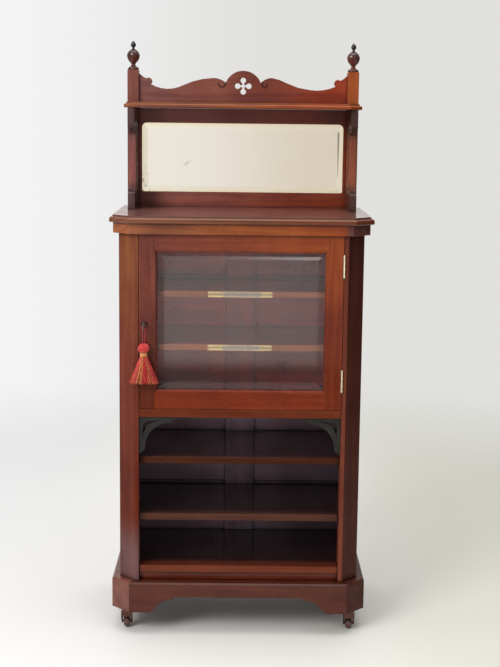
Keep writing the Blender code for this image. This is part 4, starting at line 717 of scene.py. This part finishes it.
def paint(node, material):
    part = nodes[node]
    if not part.material_slots:
        part.data.materials.append(material)
    for slot in part.material_slots:
        slot.material = material


def paint_woods():
    for index, (node, (grain, (axis, stops), extra)) in enumerate(WOODS.items()):
        paint(node, wood(node + "_wood", grain, axis, stops, shift=GRAIN_STEP * index, **extra))
    for node, grain, tone, shift, far_tone in BACKS:
        paint(node, dull_wood(node + "_wood", grain, tone, shift, far_tone=far_tone, **BACK))
    paint("mirror_backing", dull_wood("mirror_backing_wood", "X", (0.12, 0.06, 0.035), 3.1, dust=0.4))
    for index, (side, _) in enumerate(SIDES):
        ebony = dull_wood(f"fret_{side}_wood", "X", (0.017, 0.015, 0.013), 5 + index, 0.4, 0.06)
        paint("fret_bracket_" + side, ebony)


def paint_metals():
    aged_brass = metal("aged_brass", (1.0, 0.92, 0.66), (0.6, 0.42, 0.22))
    lock_brass = metal("lock_brass", (0.45, 0.3, 0.11), (0.12, 0.075, 0.03), 0.38)
    steel = metal("key_steel", (0.2, 0.17, 0.15), (0.045, 0.035, 0.03), 0.34)
    dark_brass = metal("escutcheon_brass", (0.09, 0.06, 0.035), (0.03, 0.02, 0.014), 0.4)
    bronze = metal("castor_bronze", (0.12, 0.06, 0.05), (0.03, 0.016, 0.014), 0.36, scale=90)
    wheel = wood("castor_wheel_wood", "X", *plain((0.10, 0.045, 0.04)), gloss=0.3, coat=0.4)
    for place in ("lower", "upper"):
        for part in ("post_leaf", "door_leaf", "pin"):
            paint(f"hinge_{place}_{part}", aged_brass)
    paint("lock_case", lock_brass)
    paint("lock_bolt", lock_brass)
    paint("escutcheon", dark_brass)
    paint("key", steel)
    for end in ("front", "rear"):
        for side, _ in SIDES:
            paint(f"castor_horn_{end}_{side}", bronze)
            paint(f"castor_wheel_{end}_{side}", wheel)


paint_woods()
paint_metals()
paint("door_glass", dusty_glass("plate_glass"))
paint("mirror", aged_mirror("silvered_glass", *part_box("mirror")))


# Making pieces

SHARP_DEGREES = 40


def piece(name, mesh, material, body, smooth=True):
    bmesh.ops.recalc_face_normals(mesh, faces=mesh.faces)
    data = bpy.data.meshes.new(name)
    mesh.to_mesh(data)
    mesh.free()
    if smooth:
        data.shade_smooth()
        data.set_sharp_from_angle(angle=math.radians(SHARP_DEGREES))
    data.materials.append(material)
    made = add_object(name, data)
    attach(made, body)
    return made


def join_rings(mesh, rings):
    """Skin a row of rings and close its ends."""
    for first, second in zip(rings, rings[1:]):
        for step in range(len(first)):
            other = (step + 1) % len(first)
            mesh.faces.new((first[step], first[other], second[other], second[step]))
    mesh.faces.new(rings[0])
    mesh.faces.new(rings[-1])


def add_tube(mesh, path, radius, sides=5):
    """A closed tube along a list of points. The radius may be one number or one a point."""
    radii = radius if isinstance(radius, list) else [radius] * len(path)
    up = Vector((0, 0, 1))
    rings = []
    for index, point in enumerate(path):
        ahead = path[min(index + 1, len(path) - 1)] - path[max(index - 1, 0)]
        ahead.normalize()
        if abs(ahead.dot(up)) > 0.95:
            up = Vector((0, 1, 0))
        side = ahead.cross(up).normalized()
        up = side.cross(ahead).normalized()
        ring = []
        for step in range(sides):
            angle = math.tau * step / sides
            offset = side * math.cos(angle) + up * math.sin(angle)
            ring.append(mesh.verts.new(point + offset * radii[index]))
        rings.append(ring)
    join_rings(mesh, rings)


def smooth_route(route, steps):
    """A smooth curve through the points of a route."""
    points = [Vector(point) for point in route]
    padded = [2 * points[0] - points[1], *points, 2 * points[-1] - points[-2]]
    path = []
    for before, start, end, after in zip(padded, padded[1:], padded[2:], padded[3:]):
        for step in range(steps):
            t = step / steps
            square = (2 * before - 5 * start + 4 * end - after) * t**2
            cube = (3 * start - before - 3 * end + after) * t**3
            path.append((2 * start + (end - before) * t + square + cube) / 2)
    return [*path, points[-1]]


def add_box(mesh, low, high):
    made = bmesh.ops.create_cube(mesh, size=1)["verts"]
    size = Vector(high) - Vector(low)
    centre = (Vector(high) + Vector(low)) / 2
    for vert in made:
        vert.co = Vector((vert.co.x * size.x, vert.co.y * size.y, vert.co.z * size.z)) + centre


# Rear rail, strips on the shelf edges, incised curls of the crest, nails of the back

RAIL_FRONT_INSET = 0.012
RAIL_REAR_INSET = 0.002
RAIL_EASING = 0.0008
STRIP_X = (-0.077, 0.0725)
STRIP_MARGIN = 0.0004
STRIP_PROUD = 0.0005
STRIP_BORDER = 0.001
BORDER_RISE = 0.0003
STRIP_ENDS = (0.034, 0.027)
ORNAMENT_PITCH = 0.0052
LOZENGE_WIDTH = ORNAMENT_PITCH * 0.8
LOZENGE_SHARE = 0.6
LOZENGE_RISE = 0.0003
BARS = ((0.0007, 0.34), (0.0013, 0.22))
BAR_RISE = 0.0002
CURL_LEFT = ((-0.0436, 1.3088), (-0.0455, 1.3021), (-0.0505, 1.2972), (-0.0565, 1.2978), (-0.0612, 1.3012),
             (-0.0615, 1.3059), (-0.0582, 1.3080))
CURL_RIGHT = ((0.0466, 1.3093), (0.0474, 1.3030), (0.0502, 1.2984), (0.0548, 1.2978), (0.0594, 1.3010),
              (0.0600, 1.3052), (0.0572, 1.3078))
CURL_DEPTH = 0.0003
CURL_TIP = 0.0007
CURL_SWELL = 0.0009
NAIL_RADIUS = 0.0022
NAIL_RISE = 0.0006
NAIL_PITCH = 0.044
NAIL_FROM_INNER = 0.006
NAIL_FROM_OUTER = 0.008
NAIL_FROM_LOW = 0.02
NAIL_FROM_HIGH = 0.015
DOME = ((1.0, -0.4), (1.0, 0.25), (0.8, 0.75), (0.45, 0.97))
DOME_SIDES = 10
PRINT_CLOUD = (4, 0.65)
PRINT_CLOUD_SPAN = (0.35, 0.7)
PRINT_SHADES = (1.1, 0.7)
PRINT_SPECK = (3, 0.7)
PRINT_SPECK_RATIO = 9
PRINT_SPECK_SPAN = (0.5, 0.65)
PRINT_SPECK_SHARE = 0.6


def build_rear_rail():
    """The rail between the plinth's back and the bottom board."""
    low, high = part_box("plinth_back")
    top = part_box("bottom_board")[0][2]
    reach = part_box("side_panel_right")[0][0]
    mesh = bmesh.new()
    add_box(mesh, (-reach, low[1] + RAIL_FRONT_INSET, high[2]), (reach, high[1] - RAIL_REAR_INSET, top))
    bmesh.ops.bevel(mesh, geom=mesh.edges[:], offset=RAIL_EASING, segments=2, affect="EDGES")
    finish = wood("rear_rail_wood", "X", *plain(shaded(PLINTH, 0.8)), shift=9.1)
    piece("rear_rail", mesh, finish, "cabinet")


def printed(name, ground, mark, scale):
    """Paper or leaf that has browned in cloudy spots."""
    finish = Finish(name, Roughness=0.45, Specular_IOR_Level=0.4)
    vector = finish.place()
    cloud = finish.noise(vector, scale, *PRINT_CLOUD)
    speck = finish.noise(vector, scale * PRINT_SPECK_RATIO, *PRINT_SPECK)
    shades = (shade(ground, factor) for factor in PRINT_SHADES)
    colour = finish.mix(finish.ramp(cloud, *PRINT_CLOUD_SPAN), *shades)
    specks = finish.both(finish.ramp(speck, *PRINT_SPECK_SPAN), PRINT_SPECK_SHARE)
    finish.set("Base Color", finish.mix(specks, colour, shade(mark)))
    finish.set("Normal", finish.bump(speck, SPECK_RELIEF, None, SPECK_STRENGTH))
    return finish.material


def add_lozenge(mesh, x, z, width, height, face_y):
    """A low four-sided pyramid on a face that looks to the front."""
    corners = [(x - width / 2, z), (x, z - height / 2), (x + width / 2, z), (x, z + height / 2)]
    ring = [mesh.verts.new((u, face_y, w)) for u, w in corners]
    base = [mesh.verts.new((u, face_y + STRIP_PROUD / 2, w)) for u, w in corners]
    tip = mesh.verts.new((x, face_y - LOZENGE_RISE, z))
    for index in range(4):
        other = (index + 1) % 4
        mesh.faces.new((ring[index], ring[other], tip))
        mesh.faces.new((ring[index], ring[other], base[other], base[index]))
    mesh.faces.new(base)


def spaced(start, stop):
    """Middles of the ornaments that fit between two places."""
    count = int((stop - start) / ORNAMENT_PITCH)
    return [start + (stop - start) * (index + 0.5) / count for index in range(count)]


def build_strip(place, gilt, grey, dark):
    """A thin trim strip: a grey middle between two gilt ends, each with a plain repeating relief."""
    low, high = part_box("cupboard_shelf_" + place)
    shelf_y, low_z, high_z = low[1], low[2] + STRIP_MARGIN, high[2] - STRIP_MARGIN
    middle_z = (low_z + high_z) / 2
    left, right = STRIP_X
    turn_left, turn_right = left + STRIP_ENDS[0], right - STRIP_ENDS[1]
    face_y = shelf_y - STRIP_PROUD
    pale = bmesh.new()
    shiny = bmesh.new()
    marks = bmesh.new()
    add_box(pale, (turn_left, face_y, low_z), (turn_right, shelf_y, high_z))
    for start, stop in ((left, turn_left), (turn_right, right)):
        add_box(shiny, (start, face_y, low_z), (stop, shelf_y, high_z))
        for x in spaced(start, stop):
            add_lozenge(marks, x, middle_z, LOZENGE_WIDTH, (high_z - low_z) * LOZENGE_SHARE, face_y)
    for z in (low_z, high_z - STRIP_BORDER):
        add_box(shiny, (left, face_y - BORDER_RISE, z), (right, face_y, z + STRIP_BORDER))
    for index, x in enumerate(spaced(turn_left, turn_right)):
        half, share = BARS[index % 2]
        reach = (high_z - low_z) * share
        add_box(marks, (x - half, face_y - BAR_RISE, middle_z - reach), (x + half, face_y, middle_z + reach))
    piece(f"shelf_strip_{place}_middle", pale, grey, "cabinet", False)
    piece(f"shelf_strip_{place}_gilding", shiny, gilt, "cabinet", False)
    piece(f"shelf_strip_{place}_relief", marks, dark, "cabinet", False)


def build_curls(material):
    """Incised curls where the crest's arch springs, drawn as dark beads sunk half into its face: the painted
    shadow inside the cuts.
    """
    face_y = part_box("crest")[0][1]
    for side, route in (("left", CURL_LEFT), ("right", CURL_RIGHT)):
        mesh = bmesh.new()
        path = smooth_route([(x, face_y + CURL_DEPTH, z) for x, z in route], 4)
        last = len(path) - 1
        radii = [CURL_TIP + CURL_SWELL * min(1, 3 * (1 - index / last)) for index in range(len(path))]
        add_tube(mesh, path, radii, 6)
        piece(f"crest_curl_{side}", mesh, material, "cabinet")


def add_nail_head(mesh, centre):
    """A low dome that looks to the rear."""
    facing = Vector((0, 1, 0))
    side = facing.orthogonal().normalized()
    above = facing.cross(side)
    rings = []
    for out, up in DOME:
        ring = []
        for step in range(DOME_SIDES):
            angle = math.tau * step / DOME_SIDES
            offset = (side * math.cos(angle) + above * math.sin(angle)) * NAIL_RADIUS * out
            ring.append(mesh.verts.new(Vector(centre) + offset + facing * NAIL_RISE * up))
        rings.append(ring)
    join_rings(mesh, rings)


def build_nails(material):
    """Nail heads at the inner and outer ends of the back's boards."""
    for side, sign in SIDES:
        low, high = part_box("back_boards_" + side)
        mesh = bmesh.new()
        inner, outer = sorted((abs(low[0]), abs(high[0])))
        z = low[2] + NAIL_FROM_LOW
        while z < high[2] - NAIL_FROM_HIGH:
            for x in (inner + NAIL_FROM_INNER, outer - NAIL_FROM_OUTER):
                add_nail_head(mesh, (sign * x, high[1], z))
            z += NAIL_PITCH
        piece(f"back_nails_{side}", mesh, material, "cabinet")


def build_trim():
    gilt = printed("strip_gilding", (0.46, 0.37, 0.14), (0.22, 0.15, 0.05), 130)
    grey = printed("strip_paper", (0.27, 0.24, 0.20), (0.12, 0.10, 0.09), 150)
    dark = printed("strip_relief", (0.075, 0.06, 0.04), (0.04, 0.033, 0.026), 150)
    build_rear_rail()
    for place in ("lower", "upper"):
        build_strip(place, gilt, grey, dark)
    build_curls(dull_wood("curl_shadow", "X", (0.022, 0.008, 0.008), 7.3, dust=0))
    build_nails(metal("nail_iron", (0.16, 0.13, 0.12), (0.05, 0.035, 0.03), 0.5))


# Tassel: its cord from the key, its bound head and neck band, and its skirt of threads

CORD_RADIUS = 0.0008
CORD_ROUTE = (
    (-0.0022, -0.0160, -0.0417),
    (-0.0022, -0.0160, -0.0385),
    (-0.0024, -0.0158, -0.0340),
    (-0.0027, -0.0154, -0.0270),
    (-0.0031, -0.0146, -0.0180),
    (-0.0034, -0.0136, -0.0090),
    (-0.0036, -0.0127, -0.0030),
    (-0.0035, -0.0122, 0.0008),
    (-0.0026, -0.0119, 0.0026),
    (-0.0010, -0.0118, 0.0036),
    (0.0010, -0.0118, 0.0036),
    (0.0026, -0.0119, 0.0026),
    (0.0035, -0.0122, 0.0008),
    (0.0036, -0.0127, -0.0030),
    (0.0034, -0.0136, -0.0090),
    (0.0031, -0.0146, -0.0180),
    (0.0027, -0.0154, -0.0270),
    (0.0024, -0.0158, -0.0340),
    (0.0022, -0.0160, -0.0385),
    (0.0022, -0.0160, -0.0417),
)
CORD_STEPS = 4
HEAD_SEED = 5
HEAD_THREADS = 64
HEAD_STEPS = 8
HEAD_THREAD_RADIUS = 0.0011
HEAD_START = 0.0022
HEAD_INSET = 0.0034
HEAD_JITTER = 0.4
HEAD_LEAN = (0.35, 0.2)
HEAD_SWELL = (0.9, 0.1)
HEAD_ARC = (0.06, 0.84)
HEAD_FULLNESS = 0.7
HEAD_TOP = 0.02
HEAD_UNEVEN = 0.0012
HEAD_WAVES = 3
HEAD_CORE = ((0.003, 0.0012), (0.0098, 0.005), (0.0112, 0.0105), (0.0085, 0.0175), (0.0076, 0.0215))
CORE_SIDES = 20
BAND_HEIGHT = 0.009
BAND_RADIUS = 0.0084
BAND_WAIST = 0.0006
BAND_THREAD_RADIUS = 0.00078
BAND_TURNS = 7
BAND_STEPS = 30
BAND_FROM_LOW = 0.0009
BAND_SLACK = 0.0016
SKIRT_SEED = 11
SKIRT_STEPS = 7
SKIRT_NECK = 0.0078
SKIRT_INSET = 0.0008
SKIRT_OVERLAP = 0.001
THREAD_REACHES = (0.93, 1.0)
THREAD_TURN = 0.25
THREAD_START = 0.35
THREAD_WAVES = (0.0002, 0.0009)
THREAD_SPEEDS = (4, 9)
THREAD_LENGTHS = (0.93, 1.0)
THREAD_FLARE = 1.05
THREAD_FREE = 3
THREAD_TAPER = 0.35
FULL_LAYERS = (0.35, 0.6, 0.8, 1.0, 1.0, 0.9)
OUTER_LAYERS = (0.75, 1.0, 0.9)


def build_cord(material):
    path = [KEY + point for point in smooth_route(CORD_ROUTE, CORD_STEPS)]
    data = bpy.data.curves.new("tassel_loop", "CURVE")
    data.dimensions = "3D"
    data.bevel_depth = CORD_RADIUS
    data.bevel_resolution = 3
    data.use_fill_caps = True
    data.materials.append(material)
    spline = data.splines.new("POLY")
    spline.points.add(len(path) - 1)
    for slot, point in zip(spline.points, path):
        slot.co = (*point, 1)
    loop = add_object("tassel_loop", data)
    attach(loop, "tassel")
    length = sum((b - a).length for a, b in zip(path, path[1:]))
    return loop, path[0], length


def spun(centre, out, angle, z):
    """A point at a height, out from an upright axis."""
    return Vector((centre.x + out * math.cos(angle), centre.y + out * math.sin(angle), z))


def build_head(red, gold):
    """Bound loops of thread that bulge over the neck, and the neck's wound band."""
    low, high = (Vector(corner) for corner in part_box("tassel_head"))
    centre = (low + high) / 2
    bulge = (high.x - low.x) / 2 - HEAD_INSET
    height = high.z - low.z - BAND_HEIGHT
    rng = random.Random(HEAD_SEED)
    mesh = bmesh.new()
    for index in range(HEAD_THREADS):
        start = math.tau * (index + HEAD_JITTER * rng.random()) / HEAD_THREADS
        lean = HEAD_LEAN[0] + HEAD_LEAN[1] * rng.random()
        swell = HEAD_SWELL[0] + HEAD_SWELL[1] * rng.random()
        path = []
        for step in range(HEAD_STEPS + 1):
            t = step / HEAD_STEPS
            arc = math.sin(math.pi * (HEAD_ARC[0] + HEAD_ARC[1] * t))
            out = HEAD_START + bulge * swell * arc ** HEAD_FULLNESS
            drop = height * (HEAD_TOP + t) + HEAD_UNEVEN * math.sin(HEAD_WAVES * start)
            path.append(spun(centre, out, start + lean * t, high.z - drop))
        add_tube(mesh, path, HEAD_THREAD_RADIUS)
    core = []
    for out, drop in HEAD_CORE:
        angles = [math.tau * step / CORE_SIDES for step in range(CORE_SIDES)]
        core.append([mesh.verts.new(spun(centre, out, angle, high.z - drop)) for angle in angles])
    join_rings(mesh, core)
    head = piece("tassel_bound_head", mesh, red, "tassel")

    mesh = bmesh.new()
    path = []
    for index in range(BAND_TURNS * BAND_STEPS + 1):
        t = index / (BAND_TURNS * BAND_STEPS)
        out = BAND_RADIUS - BAND_WAIST * math.sin(math.pi * t)
        z = low.z + BAND_FROM_LOW + (BAND_HEIGHT - BAND_SLACK) * t
        path.append(spun(centre, out, math.tau * index / BAND_STEPS, z))
    add_tube(mesh, path, BAND_THREAD_RADIUS, 6)
    band = piece("tassel_neck_band", mesh, gold, "tassel")
    return head, band


def thread_path(rng, low, high, layer):
    """A slightly wavy thread from the neck to the skirt's rim. The layer is its share of the breadth."""
    centre = (low + high) / 2
    half_width = (high.x - low.x) / 2 - SKIRT_INSET
    half_depth = (high.y - low.y) / 2 - SKIRT_INSET
    top = high.z + SKIRT_OVERLAP
    angle = math.tau * rng.random()
    reach = layer * rng.uniform(*THREAD_REACHES)
    end = Vector((half_width * reach * math.cos(angle), half_depth * reach * math.sin(angle)))
    start_angle = angle + rng.uniform(-THREAD_TURN, THREAD_TURN)
    start = Vector((SKIRT_NECK * math.cos(start_angle), SKIRT_NECK * math.sin(start_angle)))
    start *= min(1, THREAD_START + layer)
    wave = rng.uniform(*THREAD_WAVES)
    phase = rng.uniform(0, math.tau)
    speed = rng.uniform(*THREAD_SPEEDS)
    length = (top - low.z) * rng.uniform(*THREAD_LENGTHS)
    path = []
    for step in range(SKIRT_STEPS + 1):
        t = step / SKIRT_STEPS
        flat = start.lerp(end, t ** THREAD_FLARE)
        sway = wave * math.sin(phase + speed * t) * min(1, THREAD_FREE * t)
        side = Vector((-flat.y, flat.x)).normalized() * sway
        path.append(Vector((centre.x + flat.x + side.x, centre.y + flat.y + side.y, top - length * t)))
    return path


def build_skirt(red, rose, gold):
    low, high = (Vector(corner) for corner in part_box("tassel_skirt"))
    rng = random.Random(SKIRT_SEED)
    made = []
    for name, count, material, radius, layers in (
        ("tassel_red_threads", 150, red, 0.00075, FULL_LAYERS),
        ("tassel_rose_threads", 50, rose, 0.0006, OUTER_LAYERS),
        ("tassel_gold_threads", 62, gold, 0.0006, OUTER_LAYERS),
    ):
        mesh = bmesh.new()
        for index in range(count):
            path = thread_path(rng, low, high, layers[index % len(layers)])
            from_middle = [abs(2 * step / SKIRT_STEPS - 1) for step in range(SKIRT_STEPS + 1)]
            add_tube(mesh, path, [radius * (1 - THREAD_TAPER * share ** 3) for share in from_middle], 4)
        made.append(piece(name, mesh, material, "tassel"))
    return made


def build_tassel():
    red = silk("red_silk", (0.62, 0.035, 0.03))
    gold = silk("gold_silk", (0.72, 0.36, 0.09))
    cord_red = silk("cord_silk", (0.5, 0.03, 0.05), 1400)
    head, band = build_head(red, gold)
    threads = build_skirt(red, silk("rose_silk", (0.78, 0.15, 0.12)), gold)
    loop, leaves, length = build_cord(cord_red)
    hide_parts("tassel_cord")
    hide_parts("tassel_head")
    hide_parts("tassel_head")
    for layer in threads:
        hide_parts("tassel_skirt")


build_tassel()
build_trim()


# World, floor and lights
# The spans of the room are in parts of a unit direction, those of the floor in metres

BACKDROP_LEFT = (0.895, 0.895, 0.91, 1)
BACKDROP_RIGHT = (0.755, 0.748, 0.725, 1)
BACKDROP_SPAN = (-0.17, 0.03)
ROOM_LIGHT = (1, 0.985, 0.96, 1)
ROOM_BAND = 0.86
ROOM_BAND_LOW = 1.06
ROOM_BAND_LEFT = 1.05
ROOM_BAND_RIGHT = 0.91
ROOM_LOW = 0.05
ROOM_HIGH = 0.15
ROOM_LEFT = 0.37
ROOM_RIGHT = 0.10
ROOM_BEHIND = 0.8
ROOM_BEHIND_LOW = 0.2
ROOM_CEILING = 0.95
BAND_LOW_SPAN = (-0.192, -0.174)
BAND_HIGH_SPAN = (0.0515, 0.0495)
BAND_END_SPAN = (0.20, 0.14)
BAND_TONE_SPAN = (-0.155, -0.09)
BAND_SIDE_SPAN = (-0.08, 0.08)
FRONT_SPAN = (-0.2, 0.05)
SIDE_SPAN = (-0.6, 0.6)
AHEAD_SPAN = (-0.35, -0.8)
BEHIND_SPAN = (0.3, 0.7)
BEHIND_LOW_SPAN = (0.02, 0.07)
CEILING_SPAN = (0.5, 0.85)
LAMP = 5.0
LAMP_LEFT = 0.25
LAMP_LEFT_SPAN = (-0.03, 0.06)
LAMP_RIGHT_SPAN = (0.12, 0.08)
LAMP_LOW_SPAN = (0.053, 0.0538)
LAMP_HIGH_SPAN = (0.0568, 0.0562)
LAMP_AHEAD_SPAN = (0, -0.5)
FLOOR_TONES_AND_SHADE = ((-0.7, (0.80, 0.81, 0.83)), (0.0, (0.88, 0.88, 0.86)), (0.7, (0.70, 0.71, 0.65)))
FLOOR_CLOUD = (0.97, 0.97, 0.965, 1)
FLOOR_NOISE = (3, 3, 0.5)
FLOOR_RADIUS = 3.2
FLOOR_SIDES = 64
FLOOR_FADE_SPAN = (1.2, 3.1)
FLOOR_FRONT_SPAN = (-1.0, -1.35)
LIGHTS = (
    ("key_light", (-2.4, -3.1, 2.7), (0, 0, 0.5), 2.0, 1.7, 122, (1, 0.98, 0.95)),
    ("low_fill_left", (-1.6, -2.9, 0.5), (0, 0, 0.6), 0.9, 0.8, 11, (1, 0.99, 0.97)),
    ("low_fill_right", (1.6, -2.9, 0.5), (0, 0, 0.6), 0.9, 0.8, 11, (1, 0.99, 0.97)),
    ("top_light", (0.1, -0.5, 3.6), (0, -0.3, 0), 2.2, 2.2, 36, (1, 0.99, 0.96)),
)


def room_light(tree):
    """How bright the room is in each direction: a pale band in front at the height that mirror and
    glass show, a thin lamp above it, dim below and on the right."""
    across, ahead, height = tree.parts(tree.add("TexCoord").outputs["Generated"])
    band = tree.both(tree.ramp(height, *BAND_LOW_SPAN), tree.ramp(height, *BAND_HIGH_SPAN))
    band = tree.both(band, tree.ramp(tree.math("ABSOLUTE", across), *BAND_END_SPAN))
    pale = tree.ramp(height, *BAND_TONE_SPAN, ROOM_BAND_LOW, ROOM_BAND)
    pale = tree.both(pale, tree.ramp(across, *BAND_SIDE_SPAN, ROOM_BAND_LEFT, ROOM_BAND_RIGHT))
    front = tree.between(band, tree.ramp(height, *FRONT_SPAN, ROOM_LOW, ROOM_HIGH), pale)
    side = tree.ramp(across, *SIDE_SPAN, ROOM_LEFT, ROOM_RIGHT)
    level = tree.between(tree.ramp(ahead, *AHEAD_SPAN), side, front)
    rear = tree.ramp(height, *BEHIND_LOW_SPAN, ROOM_BEHIND_LOW, ROOM_BEHIND)
    level = tree.between(tree.ramp(ahead, *BEHIND_SPAN), level, rear)
    level = tree.between(tree.ramp(height, *CEILING_SPAN), level, ROOM_CEILING)
    lamp = tree.both(tree.ramp(across, *LAMP_LEFT_SPAN, LAMP_LEFT, 1.0), tree.ramp(across, *LAMP_RIGHT_SPAN))
    thin = tree.both(tree.ramp(height, *LAMP_LOW_SPAN), tree.ramp(height, *LAMP_HIGH_SPAN))
    lamp = tree.both(tree.both(lamp, thin), tree.ramp(ahead, *LAMP_AHEAD_SPAN, 0, LAMP))
    return across, tree.plus(level, lamp)


def build_world():
    """The room lights the object, and the camera sees a plain backdrop."""
    world = bpy.data.worlds.new("studio")
    scene.world = world
    world.use_nodes = True
    tree = Tree(world.node_tree, "World Output")
    across, level = room_light(tree)
    lit = tree.add("Background", {"Color": ROOM_LIGHT, "Strength": level})
    backdrop = tree.mix(tree.ramp(across, *BACKDROP_SPAN), BACKDROP_LEFT, BACKDROP_RIGHT)
    shown = tree.add("Background", {"Color": backdrop})
    tree.show(tree.add("LightPath").outputs["Is Camera Ray"], lit, shown)


def build_floor():
    """A pale round floor that fades into the backdrop, its tone painted darker and bluer on the left and
    darker and greener on the right: painted shade.
    """
    mesh = bmesh.new()
    bmesh.ops.create_circle(mesh, cap_ends=True, radius=FLOOR_RADIUS, segments=FLOOR_SIDES)
    data = bpy.data.meshes.new("floor")
    mesh.to_mesh(data)
    mesh.free()
    floor = add_object("floor", data)
    finish = Finish("pale_floor", Roughness=0.55, Specular_IOR_Level=0.25)
    coords = finish.coords()
    away = finish.add("VectorMath", {0: coords}, operation="LENGTH").outputs["Value"]
    cloud = finish.noise(coords, *FLOOR_NOISE)
    # Darker to the left and right of the middle: painted shade.
    pale = finish.tone_along("X", FLOOR_TONES_AND_SHADE)
    finish.set("Base Color", finish.mix(cloud, pale, finish.tinted(pale, FLOOR_CLOUD)))
    front = finish.ramp(finish.parts(coords)[AXES["Y"]], *FLOOR_FRONT_SPAN)
    fade = finish.math("MAXIMUM", finish.ramp(away, *FLOOR_FADE_SPAN), front)
    finish.show(fade, finish.shader, finish.add("BsdfTransparent"))
    data.materials.append(finish.material)


def area_light(name, place, target, width, height, power, colour):
    data = bpy.data.lights.new(name, "AREA")
    data.shape = "RECTANGLE"
    data.size = width
    data.size_y = height
    data.energy = power
    data.color = colour
    light = add_object(name, data)
    light.location = place
    light.rotation_euler = (Vector(place) - Vector(target)).to_track_quat("Z", "Y").to_euler()


build_world()
build_floor()
for row in LIGHTS:
    area_light(*row)
scene.view_settings.view_transform = "Standard"
